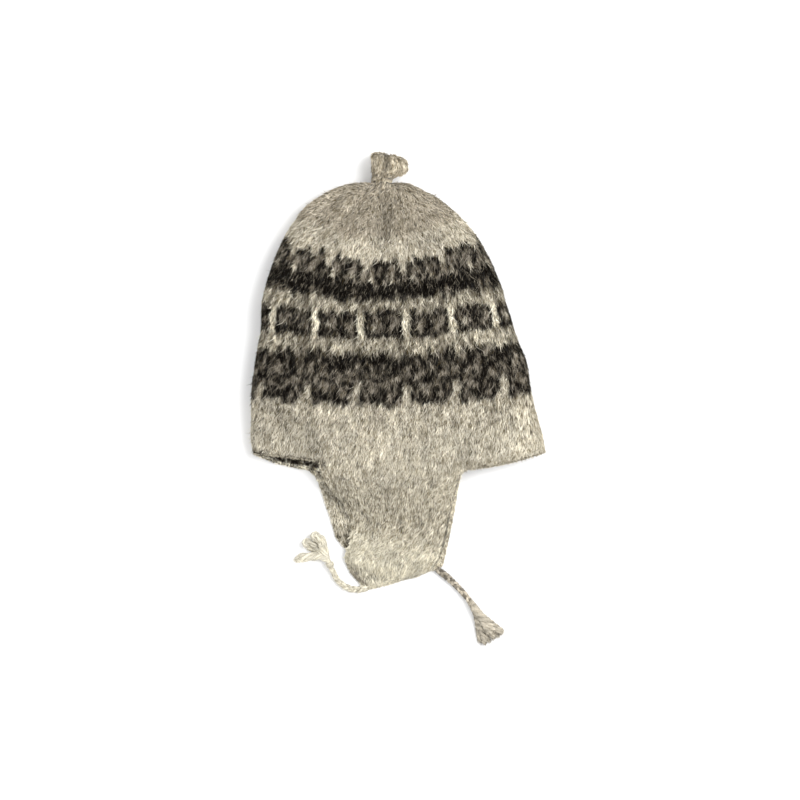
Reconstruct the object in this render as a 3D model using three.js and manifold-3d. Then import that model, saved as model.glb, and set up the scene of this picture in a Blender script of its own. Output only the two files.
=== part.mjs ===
// A knitted hat with two ear flaps, lying on its side: the crown points to +Y, one flap lies
// on the other, and each flap ends in a short braided tie with a tassel.
// Millimetres, +Z up. The origin is under the middle of the knitted body, on the floor.

import * as THREE from "three";
import { mergeVertices } from "three/addons/utils/BufferGeometryUtils.js";
import Module from "manifold-3d";

const wasm = await Module();
wasm.setup();

// Knitted body
const knitWall = 3.6; // thickness of the brushed knit
const seamGap = 0.3; // between pieces that are knitted or tied together
const crownWidth = 259; // across the widest row, lying flat
const crownLength = 232; // from the corners of the rim to the neck, along Y
const crownLoft = 46; // height of the fullest row above the floor
const sideRun = 20; // how far in from the side the underside starts to round up
const sideRise = 0.36; // height of the side fold, as a share of the row's own height
const topFullness = 2.35; // 2 is an ellipse, more is a fuller shoulder
const rimBow = 2.7; // exponent of the rim's bow across the hat, and of the other rows'
const crownBow = 2;
const rimTurnRow = 26; // the two layers of the rim are turned against each other up to this row
// Turn of each side of the rim towards +Y, as shares of half crownWidth
const rimTurn = { upperLeft: 0.11, upperRight: -0.01, lowerLeft: -0.04, lowerRight: 0.03 };
const rowTilt = { rise: 0.02, fromRow: -10, toRow: 60 }; // the right side lies higher, same shares
const rimCorner = { x: 0, y: -71.6 }; // middle of the line through the rim's corners

// Rows of knitting, counted from the rim. middle and edge are shares of crownLength up from the
// rim's corners, halfWidth and centre are shares of half crownWidth, loft and lift of crownLoft.
const knitRows = [
  { row: 0, middle: -0.068, edge: 0.002, halfWidth: 0.99, centre: 0.01, loft: 0.59, lift: 0 },
  { row: 6, middle: 0.006, edge: 0.066, halfWidth: 0.985, centre: -0.012, loft: 0.68, lift: 0 },
  { row: 13, middle: 0.1, edge: 0.148, halfWidth: 0.963, centre: -0.032, loft: 0.79, lift: 0 },
  { row: 20, middle: 0.193, edge: 0.228, halfWidth: 0.946, centre: -0.047, loft: 0.87, lift: 0 },
  { row: 27, middle: 0.296, edge: 0.33, halfWidth: 0.92, centre: -0.052, loft: 0.94, lift: 0 },
  { row: 33, middle: 0.386, edge: 0.423, halfWidth: 0.872, centre: -0.07, loft: 0.98, lift: 0 },
  { row: 37, middle: 0.437, edge: 0.479, halfWidth: 0.85, centre: -0.077, loft: 1, lift: 0 },
  { row: 45, middle: 0.543, edge: 0.577, halfWidth: 0.82, centre: -0.1, loft: 1, lift: 0 },
  { row: 48, middle: 0.58, edge: 0.64, halfWidth: 0.789, centre: -0.104, loft: 0.99, lift: 0 },
  { row: 54, middle: 0.654, edge: 0.734, halfWidth: 0.724, centre: -0.112, loft: 0.97, lift: 0 },
  { row: 60, middle: 0.73, edge: 0.824, halfWidth: 0.64, centre: -0.118, loft: 0.93, lift: 0 },
  { row: 66, middle: 0.805, edge: 0.895, halfWidth: 0.535, centre: -0.132, loft: 0.87, lift: 0 },
  { row: 71, middle: 0.868, edge: 0.951, halfWidth: 0.413, centre: -0.142, loft: 0.79, lift: 0 },
  { row: 75, middle: 0.92, edge: 0.988, halfWidth: 0.3, centre: -0.144, loft: 0.71, lift: 0.004 },
  { row: 78, middle: 0.965, edge: 1.006, halfWidth: 0.235, centre: -0.137, loft: 0.63, lift: 0.03 },
  { row: 80, middle: 0.996, edge: 1.019, halfWidth: 0.145, centre: -0.118, loft: 0.54, lift: 0.07 },
  { row: 81, middle: 1.019, edge: 1.019, halfWidth: 0.074, centre: -0.108, loft: 0.52, lift: 0.085 },
];
const lastRow = knitRows.at(-1).row;
const halfCrown = crownWidth / 2;
const neckRow = 80; // the inside closes here, and the neck above it is solid

// Gathers where the last rows are drawn together
const gathers = { count: 10, depth: 0.085, firstRow: 62, fullRow: 77, neckDepth: 0.025 };

// Soft dents and folds of the upper layer. across and up are shares of half crownWidth and of
// crownLength from the middle of the rim's corners, turn is in degrees from +Y. long and wide are
// shares of half crownWidth, deep of crownLoft.
const dents = [
  { name: "crease under the neck", across: -0.09, up: 0.86, turn: 8, long: 0.23, wide: 0.062, deep: 0.12 },
  { name: "left shoulder", across: -0.42, up: 0.74, turn: -28, long: 0.26, wide: 0.116, deep: 0.056 },
  { name: "right shoulder", across: 0.2, up: 0.78, turn: 24, long: 0.28, wide: 0.108, deep: 0.048 },
  { name: "hollow over the middle band", across: 0.02, up: 0.56, turn: 86, long: 0.46, wide: 0.093, deep: 0.052 },
  { name: "fold beside the left flap edge", across: -0.6, up: 0.1, turn: -8, long: 0.32, wide: 0.07, deep: 0.07 },
  { name: "fold in the left corner", across: -0.78, up: 0.12, turn: -24, long: 0.23, wide: 0.062, deep: 0.052 },
  { name: "fold beside the right flap edge", across: 0.5, up: 0.06, turn: 6, long: 0.26, wide: 0.093, deep: 0.048 },
];
const dentFade = { firstRow: 76, lastRow: 80 }; // the neck has no dents

// Ear flaps. Each row of a table is a section across the flap: down is the share of the way from
// the rim to the tip, the ends are shares of half crownWidth from the rim's middle, and the drops
// are shares of flapLength below the rim's corners.
const flapLength = 119.5;
const upperFlapRows = [
  { down: 0, left: -0.545, leftDrop: 0.07, right: 0.443, rightDrop: 0.13 },
  { down: 0.12, left: -0.505, leftDrop: 0.17, right: 0.413, rightDrop: 0.205 },
  { down: 0.25, left: -0.445, leftDrop: 0.275, right: 0.389, rightDrop: 0.3 },
  { down: 0.4, left: -0.355, leftDrop: 0.39, right: 0.366, rightDrop: 0.405 },
  { down: 0.55, left: -0.31, leftDrop: 0.515, right: 0.342, rightDrop: 0.515 },
  { down: 0.7, left: -0.322, leftDrop: 0.655, right: 0.32, rightDrop: 0.632 },
  { down: 0.82, left: -0.362, leftDrop: 0.775, right: 0.295, rightDrop: 0.735 },
  { down: 0.92, left: -0.316, leftDrop: 0.88, right: 0.268, rightDrop: 0.8 },
  { down: 0.97, left: -0.262, leftDrop: 0.945, right: 0.225, rightDrop: 0.857 },
  { down: 1, left: -0.222, leftDrop: 1.0, right: 0.135, rightDrop: 0.91 },
];
const lowerFlapRows = [
  { down: 0, left: -0.592, leftDrop: 0.115, right: 0.45, rightDrop: 0.125 },
  { down: 0.12, left: -0.543, leftDrop: 0.2, right: 0.42, rightDrop: 0.205 },
  { down: 0.25, left: -0.513, leftDrop: 0.29, right: 0.403, rightDrop: 0.295 },
  { down: 0.4, left: -0.483, leftDrop: 0.395, right: 0.387, rightDrop: 0.4 },
  { down: 0.55, left: -0.45, leftDrop: 0.5, right: 0.367, rightDrop: 0.51 },
  { down: 0.7, left: -0.423, leftDrop: 0.605, right: 0.347, rightDrop: 0.61 },
  { down: 0.82, left: -0.37, leftDrop: 0.685, right: 0.33, rightDrop: 0.69 },
  { down: 0.92, left: -0.275, leftDrop: 0.76, right: 0.315, rightDrop: 0.765 },
  { down: 0.97, left: -0.14, leftDrop: 0.815, right: 0.302, rightDrop: 0.818 },
  { down: 1, left: 0.02, leftDrop: 0.84, right: 0.272, rightDrop: 0.858 },
];
const flapSlopeEnd = 0.58; // share of the way down at which the upper flap has come to rest
const flapEase = { clear: 1.5, run: 12 }; // how the upper flap comes down beside the lower one
const flapBlend = { spread: 0.3, bow: 0.8 }; // how far down a flap its root's wales and bow are felt
const rimSlopeRow = 0.8; // row up to which the rim's slope is measured
const edgeRounding = 0.28; // share of the wall taken off at a flap's edge

// Tuft at the top: a tied neck and a flared, puckered end. Each row is a ring along its axis, and
// shift moves it to the right, as a share of tuftRadius.
const tuftLength = 21.8;
const tuftRadius = 15.6;
const tuftRows = [
  { along: 0, radius: 0.62, shift: 0, lobe: 0 },
  { along: 0.1, radius: 0.63, shift: 0, lobe: 0.02 },
  { along: 0.22, radius: 0.72, shift: 0.04, lobe: 0.05 },
  { along: 0.38, radius: 0.9, shift: 0.16, lobe: 0.1 },
  { along: 0.58, radius: 0.95, shift: 0.2, lobe: 0.15 },
  { along: 0.8, radius: 0.9, shift: 0.12, lobe: 0.2 },
  { along: 0.95, radius: 0.8, shift: 0.05, lobe: 0.24 },
  { along: 1, radius: 0.62, shift: 0.02, lobe: 0.26 },
  { along: 0.86, radius: 0.32, shift: 0.02, lobe: 0.2 },
];
const tuftDimple = 0.74; // depth of the middle of the flared end, as a share of tuftLength
const tuftLobes = 5;
const tuftLobePhase = 0.6; // radians
const tuftUneven = { lobes: 3, share: 0.35 }; // a second, slower wave, as a share of the first
const tuftTurn = -10; // degrees in the plan, towards the right
const tuftFlatness = 0.82; // height of the flare against its width
const tuftFlatFrom = 0.62; // share of the tuft's length from which it is fully flattened

// Ties: braided cords that lie on the floor
const tieDiameter = 5.6;
const tieFloat = 0.1; // between the cord and the floor
const tieSocketDepth = 2.5; // how far a flap's edge is drawn in around its cord
const tieInset = { left: { x: 1.4, y: 1.6 }, right: { x: -1, y: 0.6 } }; // from the flap's tip corner
const bindingYarn = 1.6; // thickness of the yarn wound round a tassel's neck
const bindingTurns = 2;
const bindingHollow = 0.25; // thickness left between two turns, as a share of the yarn
const tasselNeck = 2.1; // radius of the bunch inside the binding
const strandDiameter = 2.9;
const leftTasselLength = 31; // of its longest strand
const rightTasselLength = 34;
const strandEase = { turn: 0.5, fall: 0.7 }; // share of a strand along which it turns and comes down

// Cord points as steps in millimetres from where the cord leaves its flap
const leftTieRoute = [
  { x: 0, y: 0, z: 0 },
  { x: -3.4, y: -0.9, z: 0 },
  { x: -7.0, y: -1.5, z: 0 },
  { x: -10.9, y: -1.5, z: 0 },
  { x: -14.8, y: -0.7, z: 0 },
  { x: -18.4, y: 0.8, z: 0 },
  { x: -21.7, y: 2.8, z: 0 },
  { x: -24.5, y: 5.4, z: 0.1 },
  { x: -26.7, y: 8.4, z: 0.4 },
  { x: -28.4, y: 11.7, z: 0.9 },
  { x: -29.9, y: 15.0, z: 1.4 },
  { x: -31.2, y: 17.9, z: 1.8 },
];
const rightTieRoute = [
  { x: 0, y: 0, z: 0 },
  { x: 3.0, y: -2.1, z: 0 },
  { x: 6.1, y: -4.4, z: 0 },
  { x: 9.1, y: -6.9, z: 0 },
  { x: 12.0, y: -9.6, z: 0 },
  { x: 14.9, y: -12.4, z: 0 },
  { x: 17.8, y: -15.2, z: 0.1 },
  { x: 20.6, y: -18.1, z: 0.4 },
  { x: 23.4, y: -21.1, z: 0.9 },
  { x: 26.0, y: -24.2, z: 1.4 },
  { x: 28.2, y: -27.3, z: 1.8 },
];

// Tassel strands: heading in degrees from the cord's end direction, curl turns it further
// along the strand, long is a share of the tassel's length, rest is how high the strand's free
// end lies above the floor, as a share of its diameter.
const leftStrands = [
  { heading: 52, curl: 20, long: 1, rest: 0.07 },
  { heading: 44, curl: 24, long: 0.94, rest: 0.62 },
  { heading: 26, curl: 22, long: 0.74, rest: 0.07 },
  { heading: 16, curl: 18, long: 0.81, rest: 1.1 },
  { heading: 5, curl: 16, long: 0.74, rest: 0.1 },
  { heading: -6, curl: 14, long: 0.81, rest: 1.17 },
  { heading: -17, curl: 20, long: 0.74, rest: 0.14 },
  { heading: -25, curl: 26, long: 0.68, rest: 0.76 },
  { heading: 12, curl: -14, long: 0.58, rest: 1.86 },
];
const rightStrands = [
  { heading: -30, curl: -4, long: 0.94, rest: 0.1 },
  { heading: -23, curl: -2, long: 1, rest: 0.83 },
  { heading: -15, curl: -3, long: 0.98, rest: 0.1 },
  { heading: -8, curl: 1, long: 0.99, rest: 1.17 },
  { heading: -1, curl: 2, long: 0.99, rest: 0.1 },
  { heading: 5, curl: 3, long: 1, rest: 0.9 },
  { heading: 10, curl: 4, long: 1, rest: 0.1 },
  { heading: -3, curl: -10, long: 0.82, rest: 2.07 },
  { heading: 6, curl: -4, long: 0.78, rest: 1.79 },
];

// Mesh fineness
const crownAround = 56;
const crownRowsMeshed = [0, 3, 7, 12, 17, 22, 27, 31, 35, 39, 43, 47, 51, 55, 59, 63, 67, 70, 73, 75.5, 77.5, 79, 80];
const flapDown = [0, 0.07, 0.15, 0.24, 0.33, 0.42, 0.51, 0.6, 0.7, 0.79, 0.86, 0.92, 0.97, 1];
const outlineSteps = { top: 48, turn: 10, flap: 24 };
const tieMesh = { sides: 10, steps: 18 };
const neckMesh = { sides: 10, steps: 4 };
const strandMesh = { sides: 6, steps: 5, bends: 4 };
const bindingMesh = { sides: 8, around: 14 };
const headMesh = { around: 10, rings: 8 };
const tuftAround = 25;
const socketSides = 16;

// Small steps over which a slope is taken
const crownStep = { row: 0.4, round: 0.004 };
const flapStep = 0.01;
const columnMargin = 0.02; // no wale lies nearer than this share to a flap's edge
const upperSpan = [0.02, 0.5]; // shares of the way round that a layer takes up
const lowerSpan = [0.55, 0.98];

const mix = (a, b, share) => a + (b - a) * share;
const clamp = (value, low, high) => Math.min(high, Math.max(low, value));
const smooth = (share) => {
  const s = clamp(share, 0, 1);
  return s * s * (3 - 2 * s);
};
const radians = THREE.MathUtils.degToRad;
const vector = (x, y, z) => new THREE.Vector3(x, y, z);

// A column's value at a place along a table's key, on a smooth curve that doesn't overshoot
function along(table, key, column, at) {
  const last = table.length - 1;
  const place = clamp(at, table[0][key], table[last][key]);
  let i = 1;
  while (i < last && table[i][key] < place) i++;
  const chord = (k) => {
    const step = table[k + 1][key] - table[k][key];
    return (table[k + 1][column] - table[k][column]) / step;
  };
  const slope = (k) => {
    if (k === 0) return chord(0);
    if (k === last) return chord(last - 1);
    const before = chord(k - 1);
    const after = chord(k);
    return before * after <= 0 ? 0 : (2 * before * after) / (before + after);
  };
  const step = table[i][key] - table[i - 1][key];
  const t = (place - table[i - 1][key]) / step;
  const start = table[i - 1][column];
  const rise = table[i][column] - start;
  const first = slope(i - 1) * step;
  const second = slope(i) * step;
  return start + t * first + t * t * (3 * rise - 2 * first - second) + t ** 3 * (first + second - 2 * rise);
}

// The measures of one knitted row, in millimetres
function rowMeasures(row) {
  const column = (name) => along(knitRows, "row", name, row);
  const top = column("loft") * crownLoft;
  const bottom = column("lift") * crownLoft;
  return {
    middle: rimCorner.y + column("middle") * crownLength,
    edge: rimCorner.y + column("edge") * crownLength,
    halfWidth: column("halfWidth") * halfCrown,
    centre: rimCorner.x + column("centre") * halfCrown,
    top,
    bottom,
    side: mix(bottom, top, sideRise),
  };
}

// The outline of a row seen along Y, from the right side over the top to the left and back under
function sectionOutline(measures) {
  const { halfWidth, top, bottom, side } = measures;
  const run = Math.min(sideRun, halfWidth);
  const points = [];
  for (let i = 0; i <= outlineSteps.top; i++) {
    const angle = (Math.PI * i) / outlineSteps.top;
    const x = Math.sign(Math.cos(angle)) * Math.abs(Math.cos(angle)) ** (2 / topFullness);
    const z = Math.sin(angle) ** (2 / topFullness);
    points.push({ x: x * halfWidth, z: side + z * (top - side), upper: 1 });
  }
  for (let i = 1; i <= outlineSteps.turn; i++) {
    const angle = ((Math.PI / 2) * i) / outlineSteps.turn;
    const x = -halfWidth + run * (1 - Math.cos(angle));
    points.push({ x, z: side - (side - bottom) * Math.sin(angle), upper: -1 });
  }
  for (let i = outlineSteps.turn; i >= 1; i--) {
    const angle = ((Math.PI / 2) * i) / outlineSteps.turn;
    const x = halfWidth - run * (1 - Math.cos(angle));
    points.push({ x, z: side - (side - bottom) * Math.sin(angle), upper: -1 });
  }
  points.push({ ...points[0], upper: -1 });
  return points;
}

// Running length along a list of points in x and z
function runningLength(points) {
  const lengths = [0];
  for (let i = 1; i < points.length; i++) {
    const step = Math.hypot(points[i].x - points[i - 1].x, points[i].z - points[i - 1].z);
    lengths.push(lengths[i - 1] + step);
  }
  return lengths;
}

const outlineCache = new Map();
function cachedOutline(row) {
  if (!outlineCache.has(row)) {
    const measures = rowMeasures(row);
    const points = sectionOutline(measures);
    outlineCache.set(row, { measures, points, lengths: runningLength(points) });
  }
  return outlineCache.get(row);
}

// How far the dents lower the upper layer at a place
function dentDepth(x, y) {
  let depth = 0;
  for (const dent of dents) {
    const dx = x - (rimCorner.x + dent.across * halfCrown);
    const dy = y - (rimCorner.y + dent.up * crownLength);
    const turn = radians(dent.turn);
    const lengthwise = (dx * Math.sin(turn) + dy * Math.cos(turn)) / (dent.long * halfCrown);
    const sideways = (dx * Math.cos(turn) - dy * Math.sin(turn)) / (dent.wide * halfCrown);
    depth += dent.deep * crownLoft * Math.exp(-(lengthwise ** 2) - sideways ** 2);
  }
  return depth;
}

// A point of the crown's outside: row counts up from the rim, round is the share of the way
// round from the right side over the top. Stitches are spaced evenly along round.
function crownPoint(row, round) {
  const { measures, points, lengths } = cachedOutline(row);
  const { middle, edge, halfWidth, centre, top, side } = measures;
  const share = ((round % 1) + 1) % 1;
  const target = share * lengths.at(-1);
  let i = 1;
  while (i < lengths.length - 1 && lengths[i] < target) i++;
  const t = (target - lengths[i - 1]) / (lengths[i] - lengths[i - 1]);
  let x = mix(points[i - 1].x, points[i].x, t);
  let z = mix(points[i - 1].z, points[i].z, t);
  const upper = points[i].upper;
  const across = x / halfWidth;
  const inward = 1 - Math.abs(across) ** mix(rimBow, crownBow, smooth(row / rimTurnRow));
  const layer = upper > 0 ? "upper" : "lower";
  const turned = rimTurn[layer + (across < 0 ? "Left" : "Right")] * (1 - smooth(row / rimTurnRow));
  const tiltShare = clamp((row - rowTilt.fromRow) / (rowTilt.toRow - rowTilt.fromRow), 0, 1);
  const tilt = rowTilt.rise * Math.sin(Math.PI * tiltShare);
  const y = mix(edge, middle, inward) + halfCrown * across * (tilt + Math.sign(across) * turned * inward);
  const drawnIn = smooth((row - gathers.firstRow) / (gathers.fullRow - gathers.firstRow));
  const depth = mix(0, row === lastRow ? gathers.neckDepth : gathers.depth, drawnIn);
  const pucker = 1 + depth * Math.cos(2 * Math.PI * gathers.count * share);
  x *= pucker;
  z = side + (z - side) * pucker;
  if (upper > 0) {
    const height = (z - side) / (top - side);
    const fade = 1 - smooth((row - dentFade.firstRow) / (dentFade.lastRow - dentFade.firstRow));
    z -= dentDepth(centre + x, y) * smooth(height) * fade;
  }
  return vector(centre + x, y, Math.max(0, z));
}

// A surface's outward normal, from small steps along its two directions
function normalOf(surface, s, t, stepS, stepT) {
  const alongS = surface(s + stepS, t).sub(surface(s - stepS, t));
  const alongT = surface(s, t + stepT).sub(surface(s, t - stepT));
  return alongS.cross(alongT).normalize();
}

// A point of the crown at a depth under its outside
function crownSkin(row, round, depth) {
  const near = clamp(row, crownStep.row, lastRow - crownStep.row);
  const normal = normalOf(crownPoint, near, round, crownStep.row, crownStep.round);
  return crownPoint(row, round).addScaledVector(normal, -depth);
}

// A closed mesh from points and faces, as a geometry with flat shading
function geometryOf(points, faces) {
  const geometry = new THREE.BufferGeometry();
  geometry.setAttribute("position", new THREE.Float32BufferAttribute(points.flatMap((p) => p.toArray()), 3));
  geometry.setIndex(faces.flat());
  return geometry;
}

// Two triangles for a quad whose corners run anticlockwise seen from outside
const quad = (a, b, c, d) => [
  [a, b, c],
  [a, c, d],
];

// A bag: an outer skin and an inner one, joined at the rim and each closed at its far end
function bagGeometry(outerRings, innerRings) {
  const around = outerRings[0].length;
  const points = [...outerRings.flat(), ...innerRings.flat()];
  const innerStart = outerRings.length * around;
  const faces = [];
  const skin = (start, count, flip) => {
    for (let i = 0; i < count - 1; i++) {
      for (let j = 0; j < around; j++) {
        const k = (j + 1) % around;
        const corners = [start + i * around + j, start + (i + 1) * around + j, start + (i + 1) * around + k, start + i * around + k];
        faces.push(...quad(...(flip ? corners.reverse() : corners)));
      }
    }
    const end = start + (count - 1) * around;
    const middle = points.push(centreOf(points.slice(end, end + around))) - 1;
    for (let j = 0; j < around; j++) {
      const k = (j + 1) % around;
      faces.push(flip ? [end + j, end + k, middle] : [end + k, end + j, middle]);
    }
  };
  skin(0, outerRings.length, false);
  skin(innerStart, innerRings.length, true);
  for (let j = 0; j < around; j++) {
    const k = (j + 1) % around;
    faces.push(...quad(j, k, innerStart + k, innerStart + j));
  }
  return geometryOf(points, faces);
}

function centreOf(points) {
  const sum = points.reduce((total, p) => total.add(p), vector(0, 0, 0));
  return sum.divideScalar(points.length);
}

// A sheet with an upper and a lower skin on one grid, closed round its border
function sheetGeometry(upper, lower) {
  const rows = upper.length;
  const columns = upper[0].length;
  const points = [...upper.flat(), ...lower.flat()];
  const at = (i, j) => i * columns + j;
  const under = (i, j) => rows * columns + at(i, j);
  const faces = [];
  for (let i = 0; i < rows - 1; i++) {
    for (let j = 0; j < columns - 1; j++) {
      faces.push(...quad(at(i, j), at(i + 1, j), at(i + 1, j + 1), at(i, j + 1)));
      faces.push(...quad(under(i, j), under(i, j + 1), under(i + 1, j + 1), under(i + 1, j)));
    }
  }
  for (let j = 0; j < columns - 1; j++) {
    faces.push(...quad(at(0, j), at(0, j + 1), under(0, j + 1), under(0, j)));
    const end = rows - 1;
    faces.push(...quad(at(end, j + 1), at(end, j), under(end, j), under(end, j + 1)));
  }
  for (let i = 0; i < rows - 1; i++) {
    faces.push(...quad(at(i + 1, 0), at(i, 0), under(i, 0), under(i + 1, 0)));
    const side = columns - 1;
    faces.push(...quad(at(i, side), at(i + 1, side), under(i + 1, side), under(i, side)));
  }
  return geometryOf(points, faces);
}

// The crown, open at the rim
function crownGeometry() {
  const ring = (row, depth) =>
    Array.from({ length: crownAround }, (_, j) => crownSkin(row, j / crownAround, depth));
  const outer = [...crownRowsMeshed, lastRow].map((row) => ring(row, 0));
  const inner = crownRowsMeshed.filter((row) => row <= neckRow).map((row) => ring(row, knitWall));
  return bagGeometry(outer, inner);
}

// The share of the way round a row at which it passes over a place in x
function roundAt(row, x, upper) {
  let [low, high] = upper ? upperSpan : lowerSpan;
  for (let i = 0; i < 40; i++) {
    const middle = (low + high) / 2;
    const beyond = crownPoint(row, middle).x > x;
    if (beyond === upper) low = middle;
    else high = middle;
  }
  return (low + high) / 2;
}

// A flap's edge points in the plan
function flapPlan(table, down) {
  const column = (name) => along(table, "down", name, down);
  const x = (share) => rimCorner.x + share * halfCrown;
  const y = (share) => rimCorner.y - share * flapLength;
  return {
    left: { x: x(column("left")), y: y(column("leftDrop")) },
    right: { x: x(column("right")), y: y(column("rightDrop")) },
  };
}

// How far a place lies outside a flap's outline, zero inside it
function outsideFlap(table, x, y) {
  const outline = [];
  const steps = outlineSteps.flap;
  for (let i = 0; i <= steps; i++) outline.push(flapPlan(table, i / steps).left);
  for (let i = steps; i >= 0; i--) outline.push(flapPlan(table, i / steps).right);
  let nearest = Infinity;
  let inside = false;
  for (let i = 0; i < outline.length; i++) {
    const a = outline[i];
    const b = outline[(i + 1) % outline.length];
    const dx = b.x - a.x;
    const dy = b.y - a.y;
    const t = clamp(((x - a.x) * dx + (y - a.y) * dy) / (dx * dx + dy * dy || 1), 0, 1);
    nearest = Math.min(nearest, Math.hypot(x - a.x - t * dx, y - a.y - t * dy));
    if (a.y > y !== b.y > y && x < a.x + ((y - a.y) * dx) / dy) inside = !inside;
  }
  return inside ? 0 : nearest;
}

// A flap's root follows the crown's rim: its two edges and the wales between them, as shares of
// the way across
function flapRoot(table, upper) {
  const plan = flapPlan(table, 0);
  const roundLeft = roundAt(0, plan.left.x, upper);
  const roundRight = roundAt(0, plan.right.x, upper);
  const wales = [];
  for (let j = 0; j <= crownAround; j++) {
    const across = (j / crownAround - roundLeft) / (roundRight - roundLeft);
    if (across > columnMargin && across < 1 - columnMargin) wales.push(across);
  }
  return { plan, roundLeft, roundRight, columns: [0, ...wales.sort((a, b) => a - b), 1] };
}

// The two skins of the crown at a flap's root, moved on by the seam gap
function rootSkins({ roundLeft, roundRight }, across, upper) {
  const round = mix(roundLeft, roundRight, across);
  const [top, bottom] = (upper ? [0, knitWall] : [knitWall, 0]).map((depth) => crownSkin(0, round, depth));
  const away = crownPoint(0, round).sub(crownPoint(rimSlopeRow, round)).normalize();
  return { top: top.addScaledVector(away, seamGap), bottom: bottom.addScaledVector(away, seamGap), away };
}

// A flap's upper skin, as a function of the shares of the way down and across
function flapSurface(table, upper) {
  const root = flapRoot(table, upper);
  const { left: rootLeft, right: rootRight } = root.plan;
  return (down, across) => {
    const { top: start, away } = rootSkins(root, across, upper);
    const { left, right } = flapPlan(table, down);
    const spread = (start.x - mix(rootLeft.x, rootRight.x, across)) * (1 - smooth(down / flapBlend.spread));
    const bow = (start.y - mix(rootLeft.y, rootRight.y, across)) * (1 - smooth(down / flapBlend.bow));
    const x = mix(left.x, right.x, across) + spread;
    const y = mix(left.y, right.y, across) + bow;
    if (!upper) return vector(x, y, knitWall);
    const beside = (outsideFlap(lowerFlapRows, x, y) - flapEase.clear) / flapEase.run;
    const rest = knitWall + (knitWall + seamGap) * (1 - smooth(beside));
    const t = clamp(down / flapSlopeEnd, 0, 1);
    const firstFall = (away.z / Math.hypot(away.x, away.y)) * flapSlopeEnd * flapLength;
    return vector(x, y, mix(start.z, rest, smooth(t)) + t * (1 - t) ** 2 * firstFall);
  };
}

function flapGeometry(table, upper) {
  const surface = flapSurface(table, upper);
  const root = flapRoot(table, upper);
  const skins = { top: [], bottom: [] };
  for (const down of flapDown) {
    const rows = { top: [], bottom: [] };
    for (const across of root.columns) {
      if (down === 0) {
        const { top, bottom } = rootSkins(root, across, upper);
        rows.top.push(top);
        rows.bottom.push(bottom);
        continue;
      }
      const inside = (share) => clamp(share, flapStep, 1 - flapStep);
      const normal = normalOf(surface, inside(down), inside(across), flapStep, flapStep);
      if (normal.z < 0) normal.negate();
      const top = surface(down, across);
      const ease = across === 0 || across === 1 || down === 1 ? edgeRounding * knitWall : 0;
      rows.top.push(top.clone().addScaledVector(normal, -ease));
      rows.bottom.push(top.clone().addScaledVector(normal, ease - knitWall));
    }
    skins.top.push(rows.top);
    skins.bottom.push(rows.bottom);
  }
  for (const row of skins.bottom) for (const point of row) point.z = Math.max(0, point.z);
  return sheetGeometry(skins.top, skins.bottom);
}

// Solids for cutting and joining
function solidOf(geometry) {
  const bare = geometry.clone();
  bare.deleteAttribute("normal");
  bare.deleteAttribute("uv");
  const merged = mergeVertices(bare, 1e-4);
  const mesh = new wasm.Mesh({
    numProp: 3,
    vertProperties: new Float32Array(merged.attributes.position.array),
    triVerts: new Uint32Array(merged.index.array),
  });
  mesh.merge();
  return new wasm.Manifold(mesh);
}

function geometryFrom(solid) {
  const { vertProperties, triVerts } = solid.getMesh();
  const geometry = new THREE.BufferGeometry();
  geometry.setAttribute("position", new THREE.BufferAttribute(new Float32Array(vertProperties), 3));
  geometry.setIndex(new THREE.BufferAttribute(new Uint32Array(triVerts), 1));
  return geometry;
}

// A round bar along a list of points, with its own number of sides and steps
function barGeometry(points, radius, sides, steps) {
  const circle = new THREE.Shape();
  for (let i = 0; i < sides; i++) {
    const angle = (2 * Math.PI * i) / sides;
    const place = [radius * Math.cos(angle), radius * Math.sin(angle)];
    if (i) circle.lineTo(...place);
    else circle.moveTo(...place);
  }
  circle.closePath();
  const path = new THREE.CatmullRomCurve3(points);
  return new THREE.ExtrudeGeometry(circle, { steps, extrudePath: path, bevelEnabled: false });
}

const tieHeight = tieDiameter / 2 + tieFloat;
const routePoints = (exit, route) => route.map((step) => vector(exit.x + step.x, exit.y + step.y, tieHeight + step.z));

// Where each cord leaves its flap: a little inside the flap's tip corner
const upperTip = flapPlan(upperFlapRows, 1).left;
const lowerTip = flapPlan(lowerFlapRows, 1).right;
const leftExit = { x: upperTip.x + tieInset.left.x, y: upperTip.y + tieInset.left.y };
const rightExit = { x: lowerTip.x + tieInset.right.x, y: lowerTip.y + tieInset.right.y };

// The socket that a cord sits in, cut from a flap's edge along the cord's first direction
function tieSocket(exit, route) {
  const [first, second] = routePoints(exit, route);
  const heading = second.clone().sub(first).setZ(0).normalize();
  const length = tieDiameter + tieSocketDepth;
  const radius = tieDiameter / 2 + seamGap;
  const cutter = new THREE.CylinderGeometry(radius, radius, length, socketSides);
  cutter.rotateZ(-Math.PI / 2).translate(length / 2, 0, 0);
  cutter.rotateZ(Math.atan2(heading.y, heading.x));
  return solidOf(cutter.translate(first.x, first.y, first.z));
}

function flapWithSocket(table, upper, exit, route) {
  const flap = solidOf(flapGeometry(table, upper));
  return geometryFrom(flap.subtract(tieSocket(exit, route)));
}

// A cord's tube, which starts a seam gap outside its socket's end
function tieGeometry(exit, route) {
  const points = routePoints(exit, route);
  const heading = points[1].clone().sub(points[0]).normalize();
  points[0].addScaledVector(heading, seamGap);
  return barGeometry(points, tieDiameter / 2, tieMesh.sides, tieMesh.steps);
}

// The place and direction at which a cord ends
function tieEnd(exit, route) {
  const points = routePoints(exit, route);
  const end = points.at(-1);
  const path = new THREE.CatmullRomCurve3(points);
  return { end, heading: path.getTangent(1).normalize() };
}

// Length of a tassel's bound neck, with a turn of yarn for each winding
const neckLength = bindingYarn * bindingTurns + 2 * seamGap;

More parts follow.
